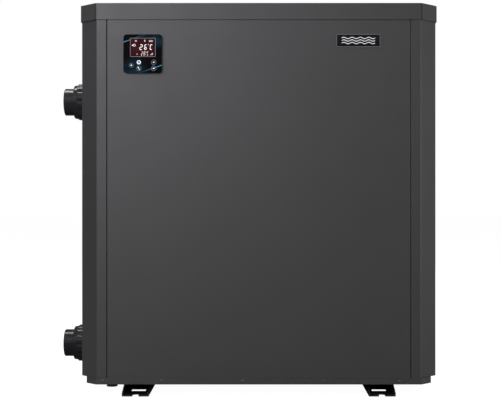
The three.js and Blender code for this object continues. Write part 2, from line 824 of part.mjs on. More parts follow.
function addRefrigerantLines() {
  const { x, y, z } = VALVE;
  const stub = (dx, z0, z1) => drum(8, z0, z1, 12).translate(dx, 0, 0);
  const barrel = drum(15, -58, 58, 20).rotateY(Math.PI / 2);
  const valve = join(barrel, stub(0, 0, 30), stub(-32, -30, 0), stub(0, -30, 0), stub(32, -30, 0));
  add(unit, "reversing_valve", valve, brass).position.set(x, y, z);

  const ends = { top: z + 30 + FIT, bottom: z - 30 - FIT };
  const lines = {
    discharge_pipe: {
      points: [
        [COMPRESSOR.x, y + 40, 352.2],
        [COMPRESSOR.x, y + 40, 520],
        [x, y, 520],
        [x, y, ends.top],
      ],
      radius: 6.5,
      steps: 24,
    },
    suction_pipe: {
      points: [
        [x, y, ends.bottom],
        [x, y, COIL_LINE_Z],
        [ACCUMULATOR.x, ACCUMULATOR.y, COIL_LINE_Z],
        [ACCUMULATOR.x, ACCUMULATOR.y, 322 + FIT],
      ],
      radius: 8,
      steps: 20,
    },
    exchanger_gas_pipe: {
      points: [
        [x - 32, y, ends.bottom],
        [x - 32, y, COIL_LINE_Z],
        [-120, y, COIL_LINE_Z],
        [-120, PORT_Y, GAS_PORT_Z],
        [EXCHANGER_X + 64, PORT_Y, GAS_PORT_Z],
      ],
      radius: 8,
      steps: 32,
    },
    coil_gas_pipe: {
      points: [
        [x + 32, y, ends.bottom],
        [x + 32, y, COIL_LINE_Z],
        [x + 32, -160, COIL_LINE_Z],
        [300, -160, COIL_LINE_Z],
        [300, -90, COIL_LINE_Z],
      ],
      radius: 8,
      steps: 28,
    },
    liquid_pipe: {
      points: [
        [EXCHANGER_X + 64, PORT_Y, LIQUID_PORT_Z],
        [-120, PORT_Y, LIQUID_PORT_Z],
        [-120, -160, LIQUID_PORT_Z],
        [-120, -160, 260],
      ],
      radius: 5,
      steps: 24,
    },
  };
  for (const [name, line] of Object.entries(lines)) {
    add(unit, name, copperLine(line.points, line.radius, line.steps), copper);
  }
  const expansion = turned([
    [0, 260 + FIT],
    [9, 260 + FIT],
    [9, 285],
    [14, 287],
    [14, 310],
    [19, 312],
    [19, 336],
    [0, 338],
  ], 16);
  add(unit, "expansion_valve", expansion, brass).position.set(-120, -160, 0);
}

// The finned block wraps the left, back and right walls, with round bends at the back.
function addEvaporator() {
  const [reach, thickness, bend, front] = [382, 44, 70, -114];
  const inner = reach - thickness;
  const innerBend = bend - thickness;
  const outline = new THREE.Shape();
  outline.moveTo(reach, front);
  outline.absarc(reach - bend, reach - bend, bend, 0, Math.PI / 2);
  outline.absarc(bend - reach, reach - bend, bend, Math.PI / 2, Math.PI);
  outline.lineTo(-reach, front);
  outline.lineTo(-inner, front);
  outline.absarc(innerBend - inner, inner - innerBend, innerBend, Math.PI, Math.PI / 2, true);
  outline.absarc(inner - innerBend, inner - innerBend, innerBend, Math.PI / 2, 0, true);
  outline.lineTo(inner, front);
  add(unit, "evaporator_coil", prism(outline, BASE_FLOOR + FIT, 737, 6), finStock);
}

// ---------------------------------------------------------------- partition and electrics
function addPartition() {
  const reach = 382;
  const wall = box(-reach, reach, PARTITION_Y, PARTITION_Y + SHEET, BASE_FLOOR + FIT, ROOF_Z + 1);
  const roof = prism(
    [
      [-362, -383],
      [362, -383],
      [reach, -363],
      [reach, PARTITION_Y + SHEET],
      [-reach, PARTITION_Y + SHEET],
      [-reach, -363],
    ],
    ROOF_Z,
    ROOF_Z + SHEET,
  );
  const pipeHole = drum(12, -130, -100, 16)
    .rotateX(-Math.PI / 2)
    .translate(300, 0, COIL_LINE_Z);
  add(unit, "partition", cut(join(wall, roof), pipeHole), galvanised);
}

function addElectrics() {
  const [left, right, front, back, low, high] = [185, 330, -372, -250, 415, 700];
  const skin = 1.5;
  const shell = cut(
    box(left, right, front, back, low, high),
    box(left + skin, right - skin, front - 1, back - skin, low + skin, high - skin),
  );
  add(unit, "electrical_box", shell, galvanised);
  const cover = box(left - 2, right + 2, front - 2, front - FIT, low - 2, high + 2);
  add(unit, "electrical_cover", cover, galvanised);
  const board = back - skin - 10;
  const parts = [
    [-50, -20, 26, 60, 60],
    [5, 45, 40, 30, 80],
    [-45, -5, 34, 150, 200],
    [10, 30, 28, 170, 190],
    [35, 50, 20, 130, 240],
  ];
  const middle = (left + right) / 2;
  const blocks = parts.map(([x0, x1, tall, z0, z1]) =>
    box(middle + x0, middle + x1, board - tall, board, low + z0, low + z0 + 20 + z1 / 8),
  );
  const sheet = box(left + 10, right - 10, board - 1, board + 1, low + 12, high - 12);
  add(unit, "inverter_board", join(sheet, ...blocks), boardGreen);
}

addBase();
addCasing();
addFan();
addControls();
addWaterPorts();
addFlowSwitch();
addExchanger();
addCompressor();
addRefrigerantLines();
addEvaporator();
addPartition();
addElectrics();

// The drawings above are centred on the cabinet; the unions, gland and display stand out of it.
unit.position.set((TAIL_END - GLAND_END) / 2, (DISPLAY_FRONT - LID_HALF) / 2, 0);

export default unit;
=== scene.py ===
"""The looks of a top-discharge pool heat pump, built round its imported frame. Metres, +Z up."""
import math

import bmesh
import bpy
from mathutils import Matrix, Vector


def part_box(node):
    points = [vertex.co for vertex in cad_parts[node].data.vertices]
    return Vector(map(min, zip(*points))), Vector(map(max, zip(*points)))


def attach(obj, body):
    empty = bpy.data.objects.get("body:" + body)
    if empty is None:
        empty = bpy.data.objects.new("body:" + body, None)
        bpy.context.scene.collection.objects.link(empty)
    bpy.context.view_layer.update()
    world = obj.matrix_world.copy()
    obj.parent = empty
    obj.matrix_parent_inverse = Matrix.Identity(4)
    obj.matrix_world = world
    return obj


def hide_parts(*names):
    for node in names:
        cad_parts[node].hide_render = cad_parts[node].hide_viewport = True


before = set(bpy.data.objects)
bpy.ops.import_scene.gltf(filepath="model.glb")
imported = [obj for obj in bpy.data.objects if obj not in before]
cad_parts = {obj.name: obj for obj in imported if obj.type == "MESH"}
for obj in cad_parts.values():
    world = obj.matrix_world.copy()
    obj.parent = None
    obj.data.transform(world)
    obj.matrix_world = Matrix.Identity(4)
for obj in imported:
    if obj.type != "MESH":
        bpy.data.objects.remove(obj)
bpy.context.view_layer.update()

# -------------------- sizes, from the frame
MM = 0.001
TAU = 2 * math.pi
DIAGONAL = math.sqrt(0.5)
lid_low, lid_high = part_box("lid")
MIDDLE = (lid_low + lid_high) / 2  # the cabinet's middle line stands over this point
panel_low, panel_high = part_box("front_panel")
HALF = MIDDLE.y - panel_low.y  # half the width and depth over the walls
WALL_LOW, WALL_HIGH = panel_low.z, panel_high.z
SHEET = 2 * MM
BEND = 1.6 * MM  # outer radius of a fold in the sheet
SEAM_BEND = 0.7 * MM  # the sharper fold where two panels meet

# Each wall is drawn as the front wall, then turned about the cabinet's middle line.
WALLS = {"front": 0.0, "right": TAU / 4, "back": TAU / 2, "left": -TAU / 4}


def cabinet(x, y, z):
    """A point given from the cabinet's middle line, in the frame's coordinates."""
    return Vector((MIDDLE.x + x, MIDDLE.y + y, z))


MIDDLE_LINE = Matrix.Translation(cabinet(0, 0, 0))  # local Z runs up it, and it is the fan's axis


def wall_matrix(wall):
    return MIDDLE_LINE @ Matrix.Rotation(WALLS[wall], 4, "Z")


def wall_span(node, wall):
    """Where a panel starts and ends along its wall, from the wall's middle."""
    back_to_front = wall_matrix(wall).inverted()
    ends = [(back_to_front @ corner).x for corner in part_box(node)]
    return min(ends), max(ends)


def middle_of(node):
    low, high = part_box(node)
    return (low + high) / 2


def millimetres(points):
    return [(a * MM, b * MM) for a, b in points]


def angles(count):
    """Evenly spaced angles, once round."""
    return [TAU * k / count for k in range(count)]


def polar(radius, angle, z=0.0):
    return Vector((radius * math.cos(angle), radius * math.sin(angle), z))


def spins(count, base):
    """Copies of a place, turned evenly about its local Z axis."""
    return [base @ Matrix.Rotation(a, 4, "Z") for a in angles(count)]


# -------------------- materials
class Finish:
    """A material and the slot it stands for, with short ways to add nodes to it."""

    def __init__(self, name, slot, roughness, specular=0.5):
        self.slot = slot
        self.material = bpy.data.materials.new(name)
        self.material.use_nodes = True
        self.nodes, self.links = self.material.node_tree.nodes, self.material.node_tree.links
        self.shader = self.nodes["Principled BSDF"]
        self.feed(self.shader, {"Roughness": roughness, "Specular IOR Level": specular})
        self.place = self.add("ShaderNodeTexCoord").outputs["Object"]

    def feed(self, node, inputs):
        """Gives each input of a node its number, or a link from another node's output."""
        for key, value in inputs.items():
            if isinstance(value, bpy.types.NodeSocket):
                self.links.new(value, node.inputs[key])
            else:
                node.inputs[key].default_value = value

    def add(self, kind, inputs=None, **settings):
        node = self.nodes.new(kind)
        for key, value in settings.items():
            setattr(node, key, value)
        self.feed(node, inputs or {})
        return node

    def noise(self, size, detail):
        inputs = {"Vector": self.place, "Scale": 1 / size, "Detail": detail}
        return self.add("ShaderNodeTexNoise", inputs).outputs["Fac"]

    def ranged(self, value, low, high, to_low, to_high):
        inputs = {"Value": value, "From Min": low, "From Max": high, "To Min": to_low, "To Max": to_high}
        return self.add("ShaderNodeMapRange", inputs).outputs["Result"]

    def maths(self, operation, first, second=0.0):
        return self.add("ShaderNodeMath", {0: first, 1: second}, operation=operation).outputs[0]

    def mixed(self, factor, first, second):
        """Mixes two colours, each a triple or another node's output."""
        first, second = [(*c, 1) if isinstance(c, tuple) else c for c in (first, second)]
        # A Mix node keeps its colours in inputs 6 and 7 and in output 2.
        node = self.add("ShaderNodeMix", data_type="RGBA")
        self.feed(node, {0: factor, 6: first, 7: second})
        return node.outputs[2]

    def glow(self, shade, strength):
        """Shows one shade by its own light as well as by the room's."""
        self.feed(self.shader, {"Base Color": shade, "Emission Color": shade, "Emission Strength": strength})


def surface(
    name, slot, colour, roughness, metallic=0.0, specular=0.5, tone=0.06, tone_size=0.15,
    rough_spread=0.05, grain=1.5 * MM, relief=0.008 * MM, stretch=(1, 1, 1), edge_wear_and_highlight=0.25, painted_fold_shade=0.0,
):
    """A finish whose tone and roughness drift, with a fine relief and lighter edges: partly rubbed wear,
    partly a painted highlight where edges catch the light.

    The fold shade setting darkens the faces that a mesh marks in its fold attribute with painted shade, and
    dulls them.
    """
    finish = Finish(name, slot, roughness, specular)
    stretched = finish.add("ShaderNodeMapping", {"Scale": stretch, "Vector": finish.place})
    finish.place = stretched.outputs["Vector"]
    drift = finish.ranged(finish.noise(tone_size, 4), 0.3, 0.7, 0, 1)
    dark, light = [tuple(c * (1 + side * tone) for c in colour) for side in (-1, 1)]
    shade = finish.mixed(drift, dark, light)
    edges = finish.add("ShaderNodeNewGeometry").outputs["Pointiness"]
    # Partly painted highlight: edges are mixed towards a paler shade, for rubbed wear and for the light that
    # an edge catches.
    worn_and_lit_edge = tuple(min(1, c * 1.9 + 0.02) for c in colour)
    shade = finish.mixed(finish.ranged(edges, 0.53, 0.62, 0, edge_wear_and_highlight), shade, worn_and_lit_edge)
    patches = finish.noise(tone_size / 3, 5)
    rough = finish.ranged(patches, 0.3, 0.7, roughness - rough_spread, roughness + rough_spread)
    # Painted shade: marked fold faces are darkened towards a fifth of the colour, and made rougher.
    if painted_fold_shade:
        marked = finish.add("ShaderNodeAttribute", attribute_name="painted_fold_shade").outputs["Fac"]
        fold_shade_colour = tuple(0.2 * c for c in colour)
        shade = finish.mixed(finish.ranged(marked, 0, 1, 0, painted_fold_shade), shade, fold_shade_colour)
        rough = finish.maths("MAXIMUM", finish.ranged(marked, 0, 1, 0, 0.8), rough)
    bump = finish.add("ShaderNodeBump", {"Distance": relief, "Height": finish.noise(grain, 2)})
    inputs = {"Metallic": metallic, "Base Color": shade, "Roughness": rough}
    finish.feed(finish.shader, inputs | {"Normal": bump.outputs["Normal"]})
    return finish


def glowing(name, colour, strength):
    """Lit segments of the display, slightly uneven as a backlight is."""
    finish = Finish(name, "display_face", 0.4, 0.05)
    drift = finish.ranged(finish.noise(12 * MM, 2), 0.3, 0.7, 0, 1)
    finish.glow(finish.mixed(drift, tuple(0.82 * c for c in colour), colour), strength)
    return finish


def display_face():
    """Deep black, with a painted reflection on it that glows: two parallel slanting blue streaks and a dark
    blue haze.
    """
    slant, offset = math.radians(19), 38 * MM
    finish = Finish("display_face_painted_reflection", "display_face", 0.25, 0.01)
    middle = Matrix.Rotation(slant, 3, "Y") @ middle_of("display_glass")
    turn = {"Rotation": (0, slant, 0), "Location": -middle, "Vector": finish.place}
    across = finish.add("ShaderNodeMapping", turn).outputs["Vector"]
    split = finish.add("ShaderNodeSeparateXYZ", {"Vector": across}).outputs
    away = finish.maths("ABSOLUTE", split["Z"])
    from_line = finish.maths("ABSOLUTE", finish.maths("SUBTRACT", away, offset))
    line = finish.ranged(from_line, 0.3 * MM, 1.5 * MM, 1, 0)
    # Opposite corners are alike: the painted reflection's lines brighten towards two of them, its haze
    # towards the others.
    area = MM * MM
    corner = finish.maths("MULTIPLY", split["X"], split["Z"])
    line = finish.maths("MULTIPLY", line, finish.ranged(corner, -1300 * area, 400 * area, 0.9, 0.08))
    cloud = finish.ranged(finish.noise(24 * MM, 1), 0.35, 0.6, 0.3, 1)
    painted_reflection_haze = finish.maths("MULTIPLY", cloud, finish.ranged(corner, -50 * area, 500 * area, 0, 1))
    base = finish.mixed(painted_reflection_haze, (0.0015, 0.0015, 0.002), (0.004, 0.017, 0.028))
    finish.glow(finish.mixed(line, base, (0.05, 0.24, 0.38)), 0.35)
    return finish


def display_window():
    """The unlit liquid-crystal field: near black with a dull red-brown cast."""
    finish = Finish("display_window_field", "display_face", 0.25, 0.01)
    drift = finish.ranged(finish.noise(20 * MM, 2), 0.35, 0.65, 0, 1)
    finish.glow(finish.mixed(drift, (0.011, 0.003, 0.004), (0.028, 0.005, 0.006)), 0.6)
    return finish


# The casing's marked folds get painted shade.
CASING = surface(
    "anthracite_powder_coat", "casing", (0.03, 0.03, 0.03), 0.46,
    edge_wear_and_highlight=0.0, relief=0.012 * MM, tone=0.03, rough_spread=0.03, painted_fold_shade=1.0,
)
BLACK_PAINT = surface("black_powder_coat", "black_paint", (0.012, 0.012, 0.013), 0.42, relief=0.02 * MM)
UNION = surface(
    "glossy_black_moulding", "union_plastic", (0.018, 0.018, 0.019), 0.12,
    rough_spread=0.03, grain=6 * MM, relief=0.003 * MM, tone=0.1, specular=0.04, edge_wear_and_highlight=0.1,
)
PLASTIC = surface(
    "satin_black_moulding", "black_plastic", (0.02, 0.02, 0.021), 0.45, grain=0.5 * MM, relief=0.02 * MM
)
# Painted light: the drain spigot's moulding is made paler than its own colour, standing in for light that the
# base pan's shadow keeps off it.
SPIGOT_PLASTIC_PAINTED_LIGHT = surface("spigot_moulding_painted_light", "black_plastic", (0.14, 0.14, 0.142), 0.5, grain=0.6 * MM)
RUBBER = surface(
    "black_rubber", "rubber", (0.013, 0.013, 0.013), 0.8, tone=0.2, grain=0.8 * MM, relief=0.03 * MM
)
FAN = surface(
    "glass_filled_fan_moulding", "fan_plastic", (0.022, 0.023, 0.025), 0.5, grain=0.7 * MM, relief=0.03 * MM
)
GREY_PVC = surface("grey_pressure_pipe", "grey_pvc", (0.17, 0.18, 0.19), 0.35, tone=0.08)
ZINC = surface(
    "zinc_coated_sheet", "galvanised", (0.33, 0.345, 0.35), 0.48,
    metallic=1, tone=0.16, tone_size=0.02, edge_wear_and_highlight=0.1,
)
SCREW = surface(
    "zinc_screw", "galvanised", (0.55, 0.56, 0.57), 0.3, metallic=1, tone=0.1, tone_size=3 * MM
)
# Painted highlight: the screws share the casing's paint but are made paler than it, standing in for the glint
# on their domed heads.
CASING_SCREW_PAINTED_GLINT = surface(
    "casing_screw_painted_glint", "casing", (0.07, 0.07, 0.072), 0.28, tone=0.1, tone_size=3 * MM
)
FINS = surface(
    "pale_blue_fin_stock", "fins", (0.32, 0.43, 0.5), 0.35, metallic=0.85, tone=0.12, stretch=(1, 1, 0.15)
)
COPPER = surface(
    "bare_copper", "copper", (0.7, 0.33, 0.18), 0.3,
    metallic=1, tone=0.12, tone_size=0.06, edge_wear_and_highlight=0.05, grain=6 * MM,
)
BRASS = surface(
    "machined_brass", "brass", (0.66, 0.47, 0.18), 0.3, metallic=1, tone=0.1, tone_size=0.03
)
TITANIUM = surface("bare_titanium", "titanium", (0.42, 0.4, 0.38), 0.32, metallic=1, tone=0.1)
BOARD = surface(
    "green_solder_mask", "circuit_board", (0.02, 0.13, 0.05), 0.35, tone=0.2, tone_size=0.01
)
PLATE_BLACK = surface("badge_black", "nameplate", (0.008, 0.008, 0.009), 0.3, tone=0.1, specular=0.06)
SILVER = surface(
    "silver_print", "nameplate", (0.15, 0.15, 0.155), 0.4, tone=0.05, tone_size=0.01, specular=0.2
)
PRINT_WHITE = surface(
    "white_print", "nameplate", (0.7, 0.7, 0.7), 0.4, tone=0.04, tone_size=0.01, specular=0.1
)
LIT = glowing("lit_segment", (0.85, 0.79, 0.79), 0.6)
DIM_LIT = glowing("dim_segment", (0.6, 0.48, 0.47), 0.5)
BORDER_LIT = glowing("window_border", (0.26, 0.23, 0.24), 0.3)
KEY_MARK = glowing("key_mark", (0.78, 0.82, 0.88), 0.5)
KEY_RING = glowing("key_ring", (0.16, 0.17, 0.18), 0.4)
GLASS = display_face()
WINDOW = display_window()


# -------------------- mesh tools
def skin(bm, loops, caps=True, wrap=False):
    """Joins equal closed loops of points into a tube, capped at its ends or wrapped into a ring."""
    rows = [[bm.verts.new(point) for point in loop] for loop in loops]
    pairs = list(zip(rows, rows[1:])) + ([(rows[-1], rows[0])] if wrap else [])
    for first, second in pairs:
        for i, corner in enumerate(first):
            j = (i + 1) % len(first)
            bm.faces.new((corner, first[j], second[j], second[i]))
    if caps and not wrap:
        bm.faces.new(rows[0])
        bm.faces.new(rows[-1])


def turned(bm, profile, place, segments=64):
    """Turns a closed profile of (radius, height) points about the local Z axis of place."""
    points = [Vector((r, 0, h)) for r, h in profile]
    skin(bm, [[spin @ p for p in points] for spin in spins(segments, place)], wrap=True)


def circle(centre, across, up, radius, sides):
    spokes = [polar(radius, a) for a in angles(sides)]
    return [centre + across * spoke.x + up * spoke.y for spoke in spokes]


def piped(bm, points, radius, sides=12):
    """A round bar or pipe along a list of points."""
    across = None
    loops = []
    for i, point in enumerate(points):
        ahead = points[min(i + 1, len(points) - 1)] - points[max(i - 1, 0)]
        ahead.normalize()
        across = ahead.orthogonal() if across is None else across - ahead * across.dot(ahead)
        across.normalize()
        loops.append(circle(point, across, ahead.cross(across), radius, sides))
    skin(bm, loops)


def hoop(bm, centre, radius, wire, segments=96, sides=8):
    """A closed wire ring, flat in the horizontal plane."""
    up = Vector((0, 0, 1))
    rim = [polar(1, a) for a in angles(segments)]
    skin(bm, [circle(centre + out * radius, out, up, wire, sides) for out in rim], wrap=True)


def filleted(points, radius, steps=6):
    """The same route with its inner corners rounded."""
    route = [points[0]]
    for before, corner, after in zip(points, points[1:], points[2:]):
        start = corner + (before - corner).normalized() * radius
        end = corner + (after - corner).normalized() * radius
        for k in range(steps + 1):
            t = k / steps
            route.append(start * (1 - t) ** 2 + corner * (2 * t * (1 - t)) + end * t**2)
    return route + [points[-1]]


def rounded(width, height, radius, steps=8):
    """A rounded rectangle round the origin, as (x, z) pairs, anticlockwise."""
    outline = []
    for k, (sx, sz) in enumerate(((1, 1), (-1, 1), (-1, -1), (1, -1))):
        for i in range(steps + 1):
            turn = polar(radius, TAU / 4 * (k + i / steps))
            outline.append((sx * (width / 2 - radius) + turn.x, sz * (height / 2 - radius) + turn.y))
    return outline


def on_plane(outline, centre, y):
    """An (x, z) outline as points at depth y, seen from the front."""
    return [Vector((centre[0] + x, y, centre[1] + z)) for x, z in outline]


def block(bm, low, high, matrix=Matrix.Identity(4)):
    ring = [(low.x, low.y), (high.x, low.y), (high.x, high.y), (low.x, high.y)]
    skin(bm, [[matrix @ Vector((x, y, z)) for x, y in ring] for z in (low.z, high.z)])


def placed(name, bm):
    """The mesh as an object in the scene."""
    mesh = bpy.data.meshes.new(name)
    bm.to_mesh(mesh)
    bm.free()
    obj = bpy.data.objects.new(name, mesh)
    bpy.context.scene.collection.objects.link(obj)
    return obj


def bevelled(obj, name, width, angle):
    modifier = obj.modifiers.new(name, "BEVEL")
    modifier.width = width
    modifier.segments = 2
    modifier.limit_method = "ANGLE"
    modifier.angle_limit = math.radians(angle)


def dressed(obj, finish, body, replaces, sharp):
    """Gives an object its finish and its body, and hides the CAD nodes that it stands for.

    Its shading is smooth but leaves the broad faces flat, and edges sharper than an angle crisp.
    """
    obj.data.shade_smooth()
    obj.data.set_sharp_from_angle(angle=math.radians(sharp))
    weighted = obj.modifiers.new("even_shading", "WEIGHTED_NORMAL")
    weighted.keep_sharp = True
    weighted.weight = 100
    obj.data.materials.append(finish.material)
    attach(obj, body)
    if replaces:
        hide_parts(*replaces)
    return obj


def piece(name, bm, finish, body="cabinet", replaces=(), sharp=35, merge=True):
    """Turns the mesh into a finished object."""
    if merge:
        bmesh.ops.remove_doubles(bm, verts=bm.verts, dist=1e-6)
        bmesh.ops.dissolve_degenerate(bm, edges=bm.edges, dist=1e-7)
    bmesh.ops.recalc_face_normals(bm, faces=bm.faces)
    return dressed(placed(name, bm), finish, body, replaces, sharp)


def wide(face):
    """True for a sheet's broad faces, and false for the thin faces along its cut edges."""
    return 2 * face.calc_area() / face.calc_perimeter() > 3.2 * MM


def softened(node, finish, bend=BEND, edge=0.45 * MM, body="cabinet"):
    """A CAD node with its folds rounded and the sharpness taken off its cut edges."""
    bm = bmesh.new()
    bm.from_mesh(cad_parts[node].data)
    bmesh.ops.remove_doubles(bm, verts=bm.verts, dist=1e-5)
    bmesh.ops.dissolve_limit(bm, angle_limit=math.radians(1), verts=bm.verts, edges=bm.edges)

    def bevel_edges(folds, width, segments):
        chosen = []
        for e in bm.edges:
            if len(e.link_faces) != 2 or e.calc_face_angle() < math.radians(28):
                continue
            broad = all(wide(f) for f in e.link_faces)
            if broad == folds and (not folds or e.is_convex):
                chosen.append(e)
        bmesh.ops.bevel(bm, geom=chosen, offset=width, segments=segments, profile=0.5, affect="EDGES")

    if bend:
        bevel_edges(True, bend, 4)
    bevel_edges(False, edge, 2)
    low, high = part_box(node)
    for v in bm.verts:  # where bevels meet they can overshoot a little
        v.co = [min(max(c, a), b) for c, a, b in zip(v.co, low, high)]
    return piece(node + "_finish", bm, finish, body=body, replaces=[node], merge=False)


# -------------------- folded wall panels
def panel_profile(x0, x1, marks):
    """A wall panel in plan: return, fold, face with upright marks on it, fold, return."""
    face, back = -HALF, -HALF + 14 * MM
    corners = [Vector(p) for p in ((x0, back), (x0, face), (x1, face), (x1, back))]
    route = [tuple(p) for p in filleted(corners, SEAM_BEND, 5)]
    middle = len(route) // 2
    return route[:middle] + [(x, face) for x in marks] + route[middle:]


def corner_fan(bm, corners, loop):
    """Fills between a rectangle's four corners and a rounded hole inside it."""
    centre = sum((v.co for v in corners), Vector()) / 4
    hole = [bm.verts.new(p) for p in loop]

    def quadrant(point):
        offset = point - centre
        signs = [(False, False), (True, False), (True, True), (False, True)]
        return signs.index((offset.x > 0, offset.z > 0))

    for v, after in zip(hole, hole[1:] + hole[:1]):
        here, there = quadrant(v.co), quadrant(after.co)
        bm.faces.new((v, after, corners[here]))
        if here != there:
            bm.faces.new((after, corners[there], corners[here]))


def folded_panel(node, wall, cells):
    """A sheet with folded edges, and with cells in its face that are (x0, x1, z0, z1, outline).

    A cell has a hole of that outline in it, or is open to its edges where the outline is None.
    """
    marks = sorted({round(x, 6) for cell in cells for x in cell[:2]})
    rows = sorted({WALL_LOW, WALL_HIGH, *(round(z, 6) for cell in cells for z in cell[2:4])})
    profile = panel_profile(*wall_span(node, wall), marks)
    bm = bmesh.new()
    grid = [[bm.verts.new((x, y, z)) for x, y in profile] for z in rows]
    outlines = {(round(cell[0], 6), round(cell[2], 6)): cell[4] for cell in cells}
    for row in range(len(rows) - 1):
        for k in range(len(profile) - 1):
            corners = (grid[row][k], grid[row][k + 1], grid[row + 1][k + 1], grid[row + 1][k])
            key = (round(profile[k][0], 6), round(rows[row], 6))
            if profile[k][1] != -HALF or key not in outlines:
                bm.faces.new(corners)
            elif outlines[key]:
                corner_fan(bm, corners, outlines[key])
    for face in bm.faces:
        face.normal_update()
        outward = Vector((face.calc_center_median().x * 0.02, -1, 0))
        if abs(face.normal.y) > 0.5 and face.normal.dot(outward) < 0:
            face.normal_flip()
    bmesh.ops.transform(bm, matrix=wall_matrix(wall), verts=bm.verts)
    obj = placed(node + "_sheet", bm)
    thick = obj.modifiers.new("sheet", "SOLIDIFY")
    thick.thickness = SHEET
    thick.offset = -1
    bevelled(obj, "cut_edges", 0.35 * MM, 60)
    dressed(obj, CASING, "cabinet", [node], 40)


def hole_cell(x, z, width, height, margin, steps=0):
    """A cell with a margin round its hole, a disc or a round-ended slot. With no steps it is all open."""
    straight = 1e-6  # keeps the ends a hair short of half circles, so that no two points meet
    half_width, half_height = width / 2 + margin, height / 2 + margin
    hole = on_plane(rounded(width, height, height / 2 - straight, steps), (x, z), -HALF) if steps else None
    return x - half_width, x + half_width, z - half_height, z + half_height, hole


def slot_grid(x0, x1, columns):
    """Rows of air slots, where the CAD grille has them."""
    margin, post = 34 * MM, 26 * MM
    low, pitch, opening, rows = 64 * MM, 42 * MM, 24 * MM, 16
    width = (x1 - x0 - 2 * margin - (columns - 1) * post) / columns
    lefts = [x0 + margin + column * (width + post) for column in range(columns)]
    levels = [low + row * pitch for row in range(rows)]
    return [(left, left + width, z, z + opening) for left in lefts for z in levels]


def louvred_wall(node, wall, columns):
    slots = slot_grid(*wall_span(node, wall), columns)
    cells = [hole_cell((a + b) / 2, (c + d) / 2, b - a, d - c, 5 * MM, 8) for a, b, c, d in slots]
    folded_panel(node, wall, cells)
    # Behind each slot a blade leans in from its lower edge, and sheds the rain outwards.
    blades = bmesh.new()
    matrix = wall_matrix(wall)
    foot = -HALF + SHEET + 0.2 * MM
    overlap, lean, rise, thick = 3 * MM, 9 * MM, 15 * MM, 1.2 * MM
    shares = [k / 6 for k in range(7)]
    for a, b, c, d in slots:
        section = [(foot + lean * t**1.4, c - overlap + (rise + overlap) * t) for t in shares]
        section += [(y + thick, z - thick * 0.6) for y, z in reversed(section)]
        inset = (d - c) * 0.3
        ends = (a + inset, b - inset)
        skin(blades, [[matrix @ Vector((x, y, z)) for y, z in section] for x in ends])
    piece(node + "_blades", blades, CASING, sharp=50)


# -------------------- casing
def add_casing():
    for node in ("front_left_post", "front_right_post", "rear_left_post", "rear_right_post"):
        softened(node, CASING, bend=1 * MM)
    softened("base_pan", CASING, bend=0.8 * MM)
    for node in ("left_foot_rail", "right_foot_rail"):
        softened(node, BLACK_PAINT, bend=1 * MM, edge=0.5 * MM)

    display, window = middle_of("display_housing"), 60.6 * MM
    folded_panel("front_panel", "front", [hole_cell(display.x - MIDDLE.x, display.z, window, window, 0)])
    for node, wall, facing, radius, fittings in (
        ("left_service_panel", "left", -1, 40.6 * MM, ("upper_port_grommet", "lower_port_grommet")),
        ("right_service_panel", "right", 1, 12.6 * MM, ("cable_gland",)),
    ):
        cells = []
        for spot in map(middle_of, fittings):
            x = facing * (spot.y - MIDDLE.y)
            cells.append(hole_cell(x, spot.z, 2 * radius, 2 * radius, 6 * MM, 12))
        folded_panel(node, wall, cells)
    louvred_wall("left_grille", "left", 1)
    louvred_wall("right_grille", "right", 1)
    louvred_wall("back_grille", "back", 2)


def mark_folds(bm):
    """Marks the faces of upright folds, for the finish to darken with painted shade."""
    bm.normal_update()
    layer = bm.faces.layers.float.new("painted_fold_shade")
    for face in bm.faces:
        off_axis = min(abs(abs(face.normal.x) - a) for a in (0, 1, DIAGONAL))
        face[layer] = 1.0 if abs(face.normal.z) < 0.3 and off_axis > 0.05 else 0.0


def cut_corner_outline(half, corner, steps=4):
    """A square with its corners cut at 45 degrees and each of the eight folds rounded."""
    near = half - corner
    points = []
    for k in range(4):
        spin = Matrix.Rotation(TAU / 4 * k, 2)
        points += [spin @ Vector((half, -near)), spin @ Vector((half, near))]
    outline = []
    for i, corner_point in enumerate(points):
        before, after = points[i - 1], points[(i + 1) % len(points)]
        outline += filleted([before, corner_point, after], BEND, steps)[1:-1]
    return outline


def add_lid():
    low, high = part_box("lid")
    half = (high.x - low.x) / 2
    corner, top_bend, hole_radius, steps = 39.1 * MM, 1.4 * MM, 296 * MM, 128
    shortening = 0.59  # how much shorter an inset makes a cut corner, for each unit of inset
    levels = [(SHEET, high.z - SHEET), (SHEET, low.z), (0, low.z), (0, high.z - top_bend)]
    for k in range(1, 6):
        turn = TAU / 4 * k / 5
        levels.append((top_bend * (1 - math.cos(turn)), high.z - top_bend * (1 - math.sin(turn))))
    loops = []
    for inset, z in levels:
        outline = cut_corner_outline(half - inset, corner - shortening * inset)
        loops.append([cabinet(p.x, p.y, z) for p in outline])
    bm = bmesh.new()
    skin(bm, loops, caps=False)
    # The top and its underside are filled up to the air outlet's rim.
    rims = []
    for level in (high.z, high.z - SHEET):
        border = [v for v in bm.verts if abs(v.co.z - level) < 1e-7]
        edges = [e for e in bm.edges if all(v in border for v in e.verts)]
        rim = [bm.verts.new(cabinet(0, 0, level) + polar(hole_radius, a)) for a in angles(steps)]
        edges += [bm.edges.new((rim[k], rim[(k + 1) % steps])) for k in range(steps)]
        bmesh.ops.triangle_fill(bm, edges=edges, use_beauty=True, use_dissolve=False)
        rims.append(rim)
    upper, lower = rims
    for k in range(steps):
        j = (k + 1) % steps
        bm.faces.new((upper[k], upper[j], lower[j], lower[k]))
    mark_folds(bm)
    piece("lid_sheet", bm, CASING, replaces=["lid"], sharp=40)


# -------------------- screws
def cross_radius(angle, length, half_width):
    """Distance from the middle to the outline of a plus-shaped recess."""
    along, aside = sorted((abs(math.cos(angle)), abs(math.sin(angle))), reverse=True)
    return min(length / along, half_width / aside if aside > 1e-6 else length)


